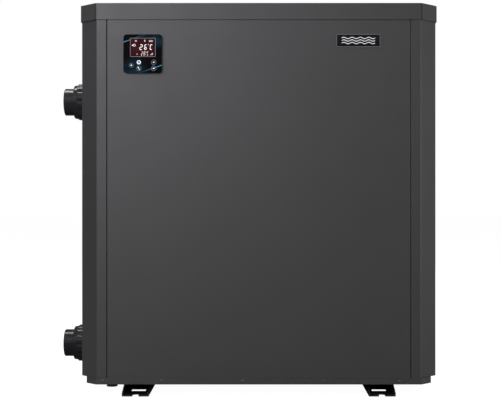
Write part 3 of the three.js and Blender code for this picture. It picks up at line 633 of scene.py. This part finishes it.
def screw(bm, place, radius):
    """A pan-head screw with a cross recess. Its head stands on the local XY plane."""
    height = 0.55 * radius
    rim = angles(32)
    dome = [(0.98, 0), (1.0, 0.25), (0.96, 0.6), (0.82, 0.88), (0.62, 1.0)]
    loops = [[place @ polar(share * radius, a, level * height) for a in rim] for share, level in dome]
    for length, half_width, level in ((0.5, 0.11, 1.0), (0.38, 0.08, 0.35)):
        reach = [cross_radius(a, length * radius, half_width * radius) for a in rim]
        loops.append([place @ polar(r, a, level * height) for r, a in zip(reach, rim)])
    skin(bm, loops)


def wall_spot(wall, x, z, depth=HALF):
    """A place on a wall, x and z in millimetres, with its local +Z pointing out of the wall."""
    spot = Matrix.Translation((x * MM, -depth, z * MM)) @ Matrix.Rotation(TAU / 4, 4, "X")
    return wall_matrix(wall) @ spot


def add_screws():
    bm = bmesh.new()
    small, large, pan_side = 2.7 * MM, 3.6 * MM, 386 * MM
    for x in (-347, -216, -36, 144, 312):
        screw(bm, wall_spot("front", x, 35), small)
    for wall, depth in (("left", pan_side), ("right", pan_side), ("back", HALF)):
        for x in (-300, -100, 100, 300):
            screw(bm, wall_spot(wall, x, 36, depth), large)
    # Side and rear panels are screwed to the posts and to each other.
    sides = (("left", (-325, 111, 131, 325)), ("right", (-325, -131, -111, 325)), ("back", (-325, 0, 325)))
    for wall, xs in sides:
        for x in xs:
            for z in (800, 440, 52) if x else (800,):
                screw(bm, wall_spot(wall, x, z), large)
    piece("casing_screws", bm, CASING_SCREW_PAINTED_GLINT)


# -------------------- fan
guard_low, guard_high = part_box("fan_guard")
GUARD_RADIUS = (guard_high.x - guard_low.x) / 2


def guard_height(radius, wire):
    """The dome's height at a radius, for the middle of a wire of this radius."""
    rise = 34 * MM
    return guard_low.z + wire + rise * (1 - (radius / GUARD_RADIUS) ** 2)


def add_guard():
    """Fine rings over crossing arms, round a plain middle disc."""
    wire, rim_wire, arm_wire, arm_drop = 1.5 * MM, 2.2 * MM, 2 * MM, 0.4 * MM
    badge, rings, arm_steps = 46 * MM, 20, 12
    bm = bmesh.new()
    for k in range(1, rings + 1):
        radius = badge + (GUARD_RADIUS - 3 * MM - badge) * k / rings
        thick = rim_wire if k == rings else wire
        hoop(bm, cabinet(0, 0, guard_height(radius, thick)), radius, thick)
    for a in angles(16):
        out = Matrix.Rotation(a, 3, "Z") @ Vector((1, 0, 0))
        points = []
        for i in range(arm_steps + 1):
            r = badge - 4 * MM + (GUARD_RADIUS - 4 * MM - badge) * i / arm_steps
            points.append(cabinet(0, 0, guard_height(r, arm_wire) - arm_drop) + out * r)
        piped(bm, points, arm_wire, sides=8)
    middle = guard_height(badge, 0) + 1.2 * MM
    disc = [(0.0001, middle), (badge - 1 * MM, middle), (badge, middle + 1 * MM)]
    disc += [(badge - 3 * MM, middle + 2.3 * MM), (0.0001, middle + 3 * MM)]
    turned(bm, disc, MIDDLE_LINE)
    piece("fan_guard_wires", bm, BLACK_PAINT, replaces=["fan_guard"], sharp=50)

    # Flat clips hold the outer ring down, each with one screw.
    clips, screws = bmesh.new(), bmesh.new()
    first = Matrix.Translation(cabinet(0, 0, lid_high.z)) @ Matrix.Rotation(TAU / 16, 4, "Z")
    low = Vector((GUARD_RADIUS - 7 * MM, -7 * MM, 0))
    high = Vector((GUARD_RADIUS + 16 * MM, 7 * MM, 1.2 * MM))
    for place in spins(8, first):
        block(clips, low, high, place)
        screw(screws, place @ Matrix.Translation((GUARD_RADIUS + 8 * MM, 0, high.z)), 4.5 * MM)
    bevelled(piece("guard_clips", clips, BLACK_PAINT, sharp=30), "rounding", 0.3 * MM, 35)
    piece("guard_screws", screws, SCREW)


def heights(node):
    """Where a node starts and ends above the floor, in millimetres."""
    return [corner.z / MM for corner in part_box(node)]


def add_rotor():
    """Five sickle blades round a ribbed hub. Sizes are in millimetres."""
    hub, tip, middle = 72, 276, 802
    top, low, bore, sleeve, blade_steps = 832, 770, 7.3, 20, 14
    profile = [
        (bore, top - 56), (sleeve, top - 56), (sleeve, top - 6), (hub - 4, top - 6), (hub - 4, low),
        (hub, low), (hub, top - 7), (hub - 1.5, top - 3), (hub - 6, top), (30, top), (28, top - 2),
        (bore, top - 2),
    ]
    bm = bmesh.new()
    turned(bm, millimetres(profile), MIDDLE_LINE, 72)
    rib_low, rib_high = Vector((sleeve - 1, -1.2, low + 6)) * MM, Vector((hub - 3, 1.2, top - 5)) * MM
    for spin in spins(10, MIDDLE_LINE):
        block(bm, rib_low, rib_high, spin)
    sections = [blade_section(i / blade_steps, hub - 3, tip, middle) for i in range(blade_steps + 1)]
    for spin in spins(5, MIDDLE_LINE):
        skin(bm, [[spin @ p for p in section] for section in sections])
    piece("fan_rotor_moulding", bm, FAN, body="fan", replaces=["fan_rotor"], sharp=40)


def blade_section(u, root, tip, middle):
    """One closed section of a blade, at a share u of its span. Sizes are in millimetres."""
    points = 9
    r = root + (tip - root) * u
    chord = 78 + (172 - 78) * u
    if u > 0.9:
        chord *= 1 - 0.5 * ((u - 0.9) / 0.1) ** 2  # rounded tip corners
    pitch = 0.56 + (0.36 - 0.56) * u
    sweep = 0.42 * u * u
    thickness = 4.2 - 2.2 * u
    upper, lower = [], []
    for j in range(points):
        v = j / (points - 1) - 0.5
        angle = sweep + v * chord * math.cos(pitch) / r
        camber = 9 * (1 - 4 * v * v)
        body = thickness * math.sqrt(max(0.02, 1 - (2 * v) ** 2)) / 2
        z = middle + v * chord * math.sin(pitch) + camber - 1.6
        upper.append(polar(r, angle, z + body) * MM)
        lower.append(polar(r, angle, z - body) * MM)
    return upper + lower[::-1]


def add_motor():
    """The motor's ribbed case, open at the top round its shaft. Sizes are in millimetres."""
    low, high = heights("fan_motor")
    body, cap, boss, shoulder, bore = 60, 52, 25, high - 10.6, 7.5
    profile = [
        (0.1, low), (cap, low), (cap + 5, low + 2), (body - 2, low + 8), (body - 2, shoulder - 9),
        (cap, shoulder), (boss, shoulder), (boss, high - 1), (boss - 1, high), (bore, high),
        (bore, low + 13), (0.1, low + 13),
    ]
    bm = bmesh.new()
    turned(bm, millimetres(profile), MIDDLE_LINE)
    fin_low, fin_high = Vector((body - 4, -1, low + 10)) * MM, Vector((body, 1, shoulder - 10)) * MM
    for spin in spins(24, MIDDLE_LINE):
        block(bm, fin_low, fin_high, spin)
    piece("fan_motor_case", bm, ZINC, replaces=["fan_motor"])


def add_shaft():
    """The fan's shaft, with the nut that holds the rotor. Sizes are in millimetres."""
    low, high = heights("fan_shaft")
    radius, nut_low, nut_high = 7, 830.3, 837
    shaft = bmesh.new()
    profile = [(0.1, low), (radius, low), (radius, high - 1), (radius - 1, high), (0.1, high)]
    turned(shaft, millimetres(profile), MIDDLE_LINE, 32)
    nut = [polar(11 * MM, a) for a in angles(6)]
    skin(shaft, [[cabinet(p.x, p.y, z * MM) for p in nut] for z in (nut_low, nut_high)])
    obj = piece("fan_shaft_and_nut", shaft, SCREW, body="fan", replaces=["fan_shaft"], sharp=40)
    bevelled(obj, "rounding", 0.4 * MM, 35)


def add_shroud():
    """The throat ring, flared below and flanged on top. Sizes are in millimetres."""
    low, high = heights("fan_shroud")
    throat, flange = 290, 330
    mouth = [
        (throat, 782), (303, low), (306, low + 1.5), (throat + 4.5, 780), (throat + 3, 786),
        (throat + 3, high - 4), (throat + 6, high - 2.6), (flange, high - 2.6), (flange, high),
        (throat + 3, high), (throat, high - 2),
    ]
    ring = bmesh.new()
    turned(ring, millimetres(mouth), MIDDLE_LINE, 128)
    piece("fan_shroud_ring", ring, ZINC, replaces=["fan_shroud"], sharp=45)


# -------------------- display and badge
def drawn_in(width, height, radius, inset):
    """A rounded rectangle with an even margin taken off it."""
    return rounded(width - 2 * inset, height - 2 * inset, max(radius - inset, 0.05 * MM))


def plate(bm, centre, y_front, y_back, width, height, radius, round_off):
    """A rounded plate on the front wall, with its front edge rounded over."""
    loops = [on_plane(rounded(width, height, radius), centre, y_back)]
    for k in range(4):
        turn = TAU / 4 * k / 3
        outline = drawn_in(width, height, radius, round_off * (1 - math.cos(turn)))
        loops.append(on_plane(outline, centre, y_front + round_off * (1 - math.sin(turn))))
    skin(bm, loops)


def flat_mark(bm, outline, centre, y_front, y_back):
    skin(bm, [on_plane(outline, centre, y) for y in (y_back, y_front)])


def flat_ring(bm, outer, inner, centre, y_front, y_back):
    """A thin raised border between two outlines, rectangular in section."""
    loops = [on_plane(outer, centre, y) for y in (y_back, y_front)]
    loops += [on_plane(inner, centre, y) for y in (y_front, y_back)]
    skin(bm, loops, wrap=True)


def raised_border(bm, centre, y_front, y_back, width, height, radius, band):
    outer, inner = rounded(width, height, radius), drawn_in(width, height, radius, band)
    flat_ring(bm, outer, inner, centre, y_front, y_back)


def disc_outline(radius, sides):
    return [(spoke.x, spoke.y) for spoke in (polar(radius, a) for a in angles(sides))]


glass_low, glass_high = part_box("display_glass")
DISPLAY = middle_of("display_glass")
# The graphics start just behind the glass's face and stand on it in three layers, within the CAD face.
GLASS_FACE = glass_low.y + 0.35 * MM
BEHIND_GLASS = GLASS_FACE + 0.1 * MM
PANE_FACE, BORDER_FACE, SIGN_FACE = [GLASS_FACE - step * 0.08 * MM for step in (1, 2, 3)]


def display_spot(dx, dz):
    return DISPLAY.x + dx * MM, DISPLAY.z + dz * MM


def mark(bm, points, dx, dz, face=SIGN_FACE):
    """A flat mark from points in millimetres round a place that is dx, dz from the middle."""
    flat_mark(bm, millimetres(points), display_spot(dx, dz), face, BEHIND_GLASS)


def ring(bm, dx, dz, radius, band, face=SIGN_FACE, sides=40):
    outer, inner = [disc_outline(r * MM, sides) for r in (radius, radius - band)]
    flat_ring(bm, outer, inner, display_spot(dx, dz), face, BEHIND_GLASS)


# Seven-segment strokes, each from one end to the other in a cell one unit wide and two high.
STROKES = {
    "a": ((0, 2), (1, 2)),
    "b": ((1, 2), (1, 1)),
    "c": ((1, 1), (1, 0)),
    "d": ((0, 0), (1, 0)),
    "e": ((0, 1), (0, 0)),
    "f": ((0, 2), (0, 1)),
    "g": ((0, 1), (1, 1)),
}
SHAPES = {"2": "abged", "6": "afgecd", "8": "abcdefg", "C": "afed"}


def sign(bm, which, dx, dz, width, height, stroke):
    """One sign in slightly leaning strokes. Its lower left corner is dx, dz from the middle."""
    lean, half = 0.1, height / 2
    for key in SHAPES[which]:
        start, end = [Vector((width * a + lean * half * b, half * b)) for a, b in STROKES[key]]
        along = (end - start).normalized()
        aside = Vector((-along.y, along.x)) * (stroke / 2)
        gap = along * (0.12 * stroke)
        tip = along * (stroke / 2)
        start, end = start + gap, end - gap
        outline = [start, start + tip - aside, end - tip - aside, end, end - tip + aside, start + tip + aside]
        mark(bm, outline, dx, dz)


def add_display():
    softened("display_gasket", RUBBER, bend=0, edge=0.15 * MM)
    low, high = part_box("display_housing")
    centre, size, inner_size = display_spot(0, 0), high.x - low.x, 60 * MM
    face_back = MIDDLE.y - HALF - 0.3 * MM
    case = bmesh.new()
    plate(case, centre, low.y, face_back, size, size, 7.5 * MM, 0.6 * MM)
    plate(case, centre, face_back + 0.1 * MM, high.y, inner_size, inner_size, 4 * MM, 0.3 * MM)
    piece("display_housing_moulding", case, PLASTIC, replaces=["display_housing"])
    glass, width = bmesh.new(), glass_high.x - glass_low.x
    plate(glass, centre, GLASS_FACE, glass_high.y, width, width, 7.2 * MM, 0.5 * MM)
    piece("display_touch_glass", glass, GLASS, replaces=["display_glass"])

    window, width, height = display_spot(0.3, 13.7), 56.4 * MM, 41.4 * MM
    pane = bmesh.new()
    flat_mark(pane, rounded(width - 0.8 * MM, height - 0.8 * MM, 1 * MM), window, PANE_FACE, BEHIND_GLASS)
    piece("display_window_pane", pane, WINDOW)
    edge = bmesh.new()
    raised_border(edge, window, BORDER_FACE, BEHIND_GLASS, width, height, 1.4 * MM, 0.7 * MM)
    piece("display_window_border", edge, BORDER_LIT)


def add_display_signs():
    """Two temperatures, and small pictograms round them."""
    lit, dim = bmesh.new(), bmesh.new()
    for which, dx, width in (("2", -6.6, 5.1), ("6", 3.9, 3.9), ("C", 16.2, 4.4)):
        sign(lit, which, dx, 9.0, width, 10.7, 1.5)
    ring(dim, 12.6, 20.2, 1.2, 0.6)
    for which, dx, width in (("2", -3.1, 2.5), ("8", 2.1, 2.7), ("C", 9.9, 2.4)):
        sign(dim, which, dx, -3.9, width, 8.4, 1.0)
    ring(dim, 8.4, 3.6, 0.9, 0.4)
    # Small pictograms: a sun, a drop, a wave over a bar, a return arrow, a pump and a signal.
    for a in angles(8):
        spoke = Matrix.Rotation(a, 2)
        mark(dim, [spoke @ Vector(p) for p in ((-0.4, 1.3), (0.4, 1.3), (0, 2.6))], -14.9, 28)
    mark(dim, disc_outline(1.1, 12), -14.9, 28)
    drop = [(0, 2.7), (1.4, 0.4), (1.5, -0.8), (0.8, -1.8), (-0.8, -1.8), (-1.5, -0.8), (-1.4, 0.4)]
    mark(dim, drop, 4.8, 28.4)
    crest = [(-4.2 + 8.4 * k / 12, 1.2 + 0.6 * math.sin(TAU * k / 6)) for k in range(13)]
    mark(dim, crest + [(a, b - 1.0) for a, b in reversed(crest)], 18.3, 28)
    mark(dim, [(-4.4, -1.6), (4.4, -1.6), (4.4, -0.6), (-4.4, -0.6)], 18.3, 28)
    ring(lit, -18.5, 18.5, 3.1, 0.9, sides=6)
    mark(lit, [(-2.9, 0), (0.6, 1.9), (0.6, -1.9)], -21.4, 18.5)
    mark(dim, disc_outline(1.5, 4), -12.3, -1.2)
    for k in range(4):
        top = 1.1 + 1.2 * k
        mark(dim, [(0, 0), (1.2, 0), (1.2, top), (0, top)], 16.6 + 1.6 * k, -3.1)
    piece("display_large_signs", lit, LIT)
    piece("display_small_signs", dim, DIM_LIT)


def add_display_keys():
    """Ringed touch keys below the window, with plain marks in them."""
    rings, keys = bmesh.new(), bmesh.new()
    for dx, dz, radius in ((-25.2, -25.9, 4.9), (24.5, -19.0, 5.6), (24.5, -32.7, 5.6), (-8.5, -32.6, 5.2)):
        ring(rings, dx, dz, radius, 0.7, PANE_FACE)
    mark(keys, disc_outline(1.5, 24), -25.2, -25.9, PANE_FACE)
    oval = [(1.9 * a, 1.25 * b) for a, b in disc_outline(1, 24)]
    for dz in (-19.0, -32.7):
        mark(keys, oval, 24.5, dz, PANE_FACE)
    ring(keys, -8.5, -19.2, 5.0, 2.0, PANE_FACE, 6)
    mark(keys, [(-2.4, 3.4), (-1.0, 3.6), (2.9, -3.2), (1.7, -3.6)], -9.2, -32.6, PANE_FACE)
    mark(keys, disc_outline(1.0, 12), -8.5, -19.2, PANE_FACE)
    piece("display_key_rings", rings, KEY_RING)
    piece("display_touch_keys", keys, KEY_MARK)


def add_badge():
    """A plain black badge: a silver border round three level wave lines."""
    low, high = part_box("nameplate")
    centre = middle_of("nameplate").xz
    width, height, margin = high.x - low.x, high.z - low.z, 0.8 * MM
    base = bmesh.new()
    plate(base, centre, low.y, high.y, width, height, 2 * MM, 0.4 * MM)
    piece("badge_plate", base, PLATE_BLACK, replaces=["nameplate"])
    proud, below = low.y - 0.25 * MM, low.y + 0.2 * MM
    edge = bmesh.new()
    raised_border(edge, centre, proud, below, width - margin, height - margin, 1.8 * MM, 0.9 * MM)
    piece("badge_border", edge, SILVER)
    waves = bmesh.new()
    steps, length, depth, pitch, half_band = 48, 74 * MM, 1.7 * MM, 5.6 * MM, 0.75 * MM
    for row in (-1, 0, 1):
        crest = []
        for k in range(steps + 1):
            level = depth * math.sin(4 * TAU * k / steps) + row * pitch
            crest.append((length * (k / steps - 0.5), level))
        for (a, b), (c, d) in zip(crest, crest[1:]):
            stretch = [(a, b - half_band), (c, d - half_band), (c, d + half_band), (a, b + half_band)]
            flat_mark(waves, stretch, centre, proud, below)
    piece("badge_print", waves, PRINT_WHITE, merge=False)


# -------------------- water unions
# Places along a port's axis, in millimetres from the cabinet's middle plane.
STUB_END, NUT_START, NUT_LIP, NUT_END = 420, 402, 428.3, 436
PORT_BORE = 21


def port_place(side):
    """The port's axis: local +Z points out of the cabinet, from its middle plane."""
    tail = middle_of(side + "_union_tail")
    return Matrix.Translation((MIDDLE.x, tail.y, tail.z)) @ Matrix.Rotation(-TAU / 4, 4, "Y")


def add_tail(side, place):
    end = (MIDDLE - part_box(side + "_union_tail")[0]).x / MM
    shoulder, collar, pipe = STUB_END + 3.5, 35.8, 31.7
    profile = [
        (PORT_BORE, shoulder), (collar - 0.4, shoulder), (collar, shoulder + 0.4), (collar, NUT_LIP - 0.3),
        (pipe, NUT_LIP - 0.3), (pipe, end - 2.2), (pipe - 0.3, end - 1.0), (30.6, end - 0.2), (29.9, end),
        (26.6, end), (25.4, end - 1.2), (25.0, end - 31), (PORT_BORE, end - 31),
    ]
    bm = bmesh.new()
    turned(bm, millimetres(profile), place, 96)
    # The mould's parting line runs along both sides, a little above mid height.
    low, high = Vector((pipe - 0.4, -0.5, NUT_END + 1)) * MM, Vector((pipe + 0.1, 0.5, end - 2.5)) * MM
    for degrees in (82, 262):
        block(bm, low, high, place @ Matrix.Rotation(math.radians(degrees), 4, "Z"))
    name = side + "_union_tail"
    piece(name + "_moulding", bm, UNION, body=side + "_tail", replaces=[name], sharp=40)


def add_nut(side, place):
    """A ring with rounded ribs round its inner part, a plain rim, and a lip over the tail's collar."""
    root, tip, ribs, rib_steps = 41.0, 43.0, 12, 12
    thread, lip, rib_end = 36.4, 32.1, NUT_END - 9.2
    # Each level: its height, how far the root is drawn in, and how much of a rib stands out.
    levels = (
        (NUT_START, 0.8, 0.7), (NUT_START + 0.8, 0, 1), (rib_end - 1.4, 0, 1), (rib_end - 0.6, 0.1, 0.9),
        (rib_end, 0.5, 0.3), (rib_end + 0.4, 0.8, 0), (NUT_END - 1.0, 1.9, 0), (NUT_END, 2.7, 0),
    )
    inside = (
        (lip + 0.6, NUT_END), (lip, NUT_END - 0.8), (lip, NUT_LIP),
        (thread, NUT_LIP), (thread, NUT_START + 1), (thread + 0.8, NUT_START),
    )
    swells = [(0.5 - 0.5 * math.cos(a)) ** 0.35 for a in angles(rib_steps)] * ribs
    rim = angles(ribs * rib_steps)
    loops = []
    for height, shrink, relief in levels:
        radii = [root - shrink + (tip - root) * relief * swell for swell in swells]
        loops.append([place @ (polar(r, a, height) * MM) for r, a in zip(radii, rim)])
    loops += [[place @ (polar(radius, a, height) * MM) for a in rim] for radius, height in inside]
    bm = bmesh.new()
    skin(bm, loops, wrap=True)
    name = side + "_union_nut"
    piece(name + "_moulding", bm, UNION, body=side + "_nut", replaces=[name], sharp=40)


def add_stub(side, place):
    """The port's pipe, with its thread drawn as plain rings."""
    inner_end, seat, core, crest, turns, pitch = 325, 388, 34.6, 36, 4, 4
    profile = [(PORT_BORE, inner_end), (30, inner_end), (30, seat), (core, seat + 0.5)]
    for k in range(turns):
        start = seat + 13 + k * pitch
        profile += [(core, start), (crest, start + 1.2), (crest, start + 2.0), (core, start + 3.2)]
    profile += [(core, STUB_END - 0.6), (core - 0.6, STUB_END), (PORT_BORE, STUB_END)]
    bm = bmesh.new()
    turned(bm, millimetres(profile), place, 72)
    piece(side + "_port_stub_pipe", bm, GREY_PVC, replaces=[side + "_port_stub"], sharp=30)


def add_port_grommet(side, place):
    bore, groove, rim, wall_in, wall_out = 36.6, 40.2, 45, 396.2, 398.8
    profile = [
        (bore, 394.5), (rim - 1, 394.5), (rim, 395.3), (rim, wall_in), (groove, wall_in),
        (groove, wall_out), (rim, wall_out), (rim, 400.2), (rim - 1.2, 401.2),
        (bore + 0.8, 401.4), (bore, 400.8),
    ]
    bm = bmesh.new()
    turned(bm, millimetres(profile), place, 72)
    piece(side + "_port_grommet_ring", bm, RUBBER, replaces=[side + "_port_grommet"], sharp=40)


def add_o_ring(side, place):
    low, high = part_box(side + "_o_ring")
    height = 0.95 * (high.x - low.x) / 2  # a little flatter than its CAD box
    centre, seat, width = 28.5 * MM, (STUB_END + 1.7) * MM, 1.9 * MM
    profile = [(centre + width * math.cos(a), seat + height * math.sin(a)) for a in angles(12)]
    bm = bmesh.new()
    turned(bm, profile, place)
    piece(side + "_o_ring_seal", bm, RUBBER, replaces=[side + "_o_ring"])


# -------------------- coil
def u_path(reach, bend, front, steps=10):
    """The coil's route in plan, from the right end round the back to the left end."""
    points = [Vector((reach, front))]
    for cx, start in ((reach - bend, 0.0), (bend - reach, TAU / 4)):
        for k in range(steps + 1):
            turn = polar(bend, start + TAU / 4 * k / steps)
            points.append(Vector((cx + turn.x, reach - bend + turn.y)))
    points.append(Vector((-reach, front)))
    return points


def along_route(points, pitch):
    """Evenly spaced (point, direction) pairs along a plan route."""
    spots = []
    left_over = pitch / 2
    for start, end in zip(points, points[1:]):
        length = (end - start).length
        ahead = (end - start) / length
        travelled = left_over
        while travelled < length:
            spots.append((start + ahead * travelled, ahead))
            travelled += pitch
        left_over = travelled - length
    return spots


def upright(bm, outline, low, high):
    """A plan outline raised between two heights."""
    skin(bm, [[cabinet(p.x, p.y, z) for p in outline] for z in (low, high)])


def add_coil():
    low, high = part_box("evaporator_coil")
    reach, front = (high.x - low.x) / 2, low.y - MIDDLE.y
    depth, bend, inset, fin_pitch = 44 * MM, 70 * MM, 7 * MM, 2.6 * MM
    half_depth, half_thick = depth / 2 - 0.1 * MM, 0.12 * MM
    fins = bmesh.new()
    for spot, ahead in along_route(u_path(reach - depth / 2, bend - depth / 2, front), fin_pitch):
        aside = Vector((-ahead.y, ahead.x)) * half_depth
        along = ahead * half_thick
        corners = [spot + aside * s + along * t for s, t in ((-1, -1), (1, -1), (1, 1), (-1, 1))]
        upright(fins, corners, low.z + 1 * MM, high.z - 1 * MM)
    piece("evaporator_fins", fins, FINS, replaces=["evaporator_coil"], merge=False)
    core = bmesh.new()
    outer = u_path(reach - inset, bend - inset, front + 1 * MM)
    inner = u_path(reach - depth + inset, bend - depth + inset, front + 1 * MM)
    upright(core, outer + inner[::-1], low.z + 2 * MM, high.z - 2 * MM)
    piece("evaporator_core", core, FINS, sharp=40)
    # Steel plates close the coil's two front ends.
    ends = bmesh.new()
    for side in (-1, 1):
        x0, x1 = sorted((side * reach, side * (reach - depth)))
        block(ends, cabinet(x0, front, low.z), cabinet(x1, front + 1.2 * MM, high.z))
    piece("evaporator_end_plates", ends, ZINC)


# -------------------- pieces inside, and small ones
def add_inside():
    for node in ("partition", "electrical_box", "electrical_cover"):
        softened(node, ZINC, bend=1 * MM, edge=0.3 * MM)
    for finish, edge, nodes in (
        (BLACK_PAINT, 1.2, "compressor accumulator"),
        (BLACK_PAINT, 0.4, "compressor_plate"),
        (RUBBER, 1.0, "compressor_grommet_1 compressor_grommet_2 compressor_grommet_3"),
        (GREY_PVC, 0.8, "exchanger_shell exchanger_top_cap exchanger_bottom_cap"),
        (TITANIUM, 0.3, "titanium_coil"),
        (BRASS, 0.4, "reversing_valve expansion_valve"),
        (COPPER, 0.2, "discharge_pipe suction_pipe exchanger_gas_pipe coil_gas_pipe liquid_pipe"),
        (BOARD, 0.3, "inverter_board"),
        (PLASTIC, 0.6, "flow_switch cable_gland"),
        (SPIGOT_PLASTIC_PAINTED_LIGHT, 0.6, "drain_spigot"),
    ):
        for node in nodes.split():
            softened(node, finish, bend=0, edge=edge * MM)
    softened("flow_paddle", BRASS, bend=0, edge=0.2 * MM, body="paddle")


# -------------------- stage, lights and camera
FLOOR_GLOW = 0.97  # keeps the far floor as white as the room behind it


def split_by_ray(tree, seen, felt, output):
    """Shows one shader to the camera, and another to every other ray."""
    ray = tree.nodes.new("ShaderNodeLightPath")
    choose = tree.nodes.new("ShaderNodeMixShader")
    tree.links.new(ray.outputs["Is Camera Ray"], choose.inputs[0])
    tree.links.new(felt.outputs[0], choose.inputs[1])
    tree.links.new(seen.outputs[0], choose.inputs[2])
    tree.links.new(choose.outputs["Shader"], tree.nodes[output].inputs["Surface"])


def add_stage():
    reach = 30
    bm = bmesh.new()
    bm.faces.new([bm.verts.new((reach * x, reach * y, 0)) for x, y in ((-1, -1), (1, -1), (1, 1), (-1, 1))])
    floor = placed("floor", bm)
    finish = Finish("pale_floor", None, 0.9, specular=0.0)
    finish.feed(finish.shader, {"Base Color": (0.15, 0.15, 0.15, 1)})
    glow = finish.add("ShaderNodeEmission", {"Strength": FLOOR_GLOW})
    lit = finish.add("ShaderNodeAddShader", {0: finish.shader.outputs["BSDF"], 1: glow.outputs["Emission"]})
    split_by_ray(finish.material.node_tree, lit, finish.shader, "Material Output")
    floor.data.materials.append(finish.material)


def add_light(name, place, target, size, power, colour=(1, 1, 1)):
    """A soft box. Its size is one side of a square, or the width and height of a strip."""
    data = bpy.data.lights.new(name, "AREA")
    if isinstance(size, tuple):
        data.shape = "RECTANGLE"
        data.size, data.size_y = size
    else:
        data.size = size
    data.energy = power
    data.color = colour
    light = bpy.data.objects.new(name, data)
    light.location = place
    light.rotation_mode = "QUATERNION"
    light.rotation_quaternion = (Vector(target) - Vector(place)).to_track_quat("-Z", "Y")
    bpy.context.scene.collection.objects.link(light)


def add_lights():
    """A white room to the eye, a dimmer one to the object, and soft boxes above and beside it."""
    world = bpy.data.worlds.new("studio")
    bpy.context.scene.world = world
    world.use_nodes = True
    tree = world.node_tree
    seen, felt = tree.nodes["Background"], tree.nodes.new("ShaderNodeBackground")
    for room, strength in ((seen, 1.0), (felt, 0.15)):
        room.inputs["Color"].default_value = (1, 1, 1, 1)
        room.inputs["Strength"].default_value = strength
    split_by_ray(tree, seen, felt, "World Output")
    warm_violet, violet = (1.0, 0.99, 1.0), (0.84, 0.84, 1.0)
    add_light("key_softbox", (-1.3, -3.2, 1.7), (-0.4, -0.4, 0.8), 2.4, 64, warm_violet)
    add_light("near_softbox", (-0.9, -1.5, 1.6), (-0.3, -0.4, 0.9), 1.2, 15, violet)
    add_light("left_fill", (-2.6, -2.4, 2.2), (-0.4, -0.4, 0.6), 1.6, 8)
    add_light("right_fill", (3.0, -1.6, 0.6), (0.3, 0, 0.4), 1.2, 43)
    add_light("right_high", (2.8, -1.4, 1.6), (0.3, 0, 0.45), 1.2, 9)
    add_light("overhead", (0.0, 0.5, 3.4), (0, 0.2, 0.9), (3.0, 1.6), 50)
    add_light("overhead_left", (-0.72, 0.0, 2.0), (-0.5, -0.2, 0.7), (0.5, 0.5), 32)
    add_light("rear_fill", (1.2, 3.6, 2.2), (0, 0.2, 0.45), 2.0, 80)


def add_camera():
    """Level, square to the front wall, with the cabinet a little right of the frame's middle."""
    distance, height = 2.4686, 0.437
    data = bpy.data.cameras.new("camera")
    data.sensor_width = 36
    data.lens = 80.05
    data.shift_x = -0.01756
    data.shift_y = -0.0004
    camera = bpy.data.objects.new("camera", data)
    camera.location = (MIDDLE.x, MIDDLE.y - HALF - distance, height)
    camera.rotation_euler = (TAU / 4, 0, 0)
    bpy.context.scene.collection.objects.link(camera)
    bpy.context.scene.camera = camera
    bpy.context.scene.view_settings.view_transform = "Standard"


add_camera()
add_stage()
add_lights()
add_casing()
add_lid()
add_guard()
add_rotor()
add_motor()
add_shaft()
softened("motor_bracket", ZINC, bend=1 * MM)
add_shroud()
add_display()
add_display_signs()
add_display_keys()
add_badge()
for port in ("upper", "lower"):
    axis = port_place(port)
    add_tail(port, axis)
    add_nut(port, axis)
    add_stub(port, axis)
    add_port_grommet(port, axis)
    add_o_ring(port, axis)
add_coil()
add_screws()
add_inside()
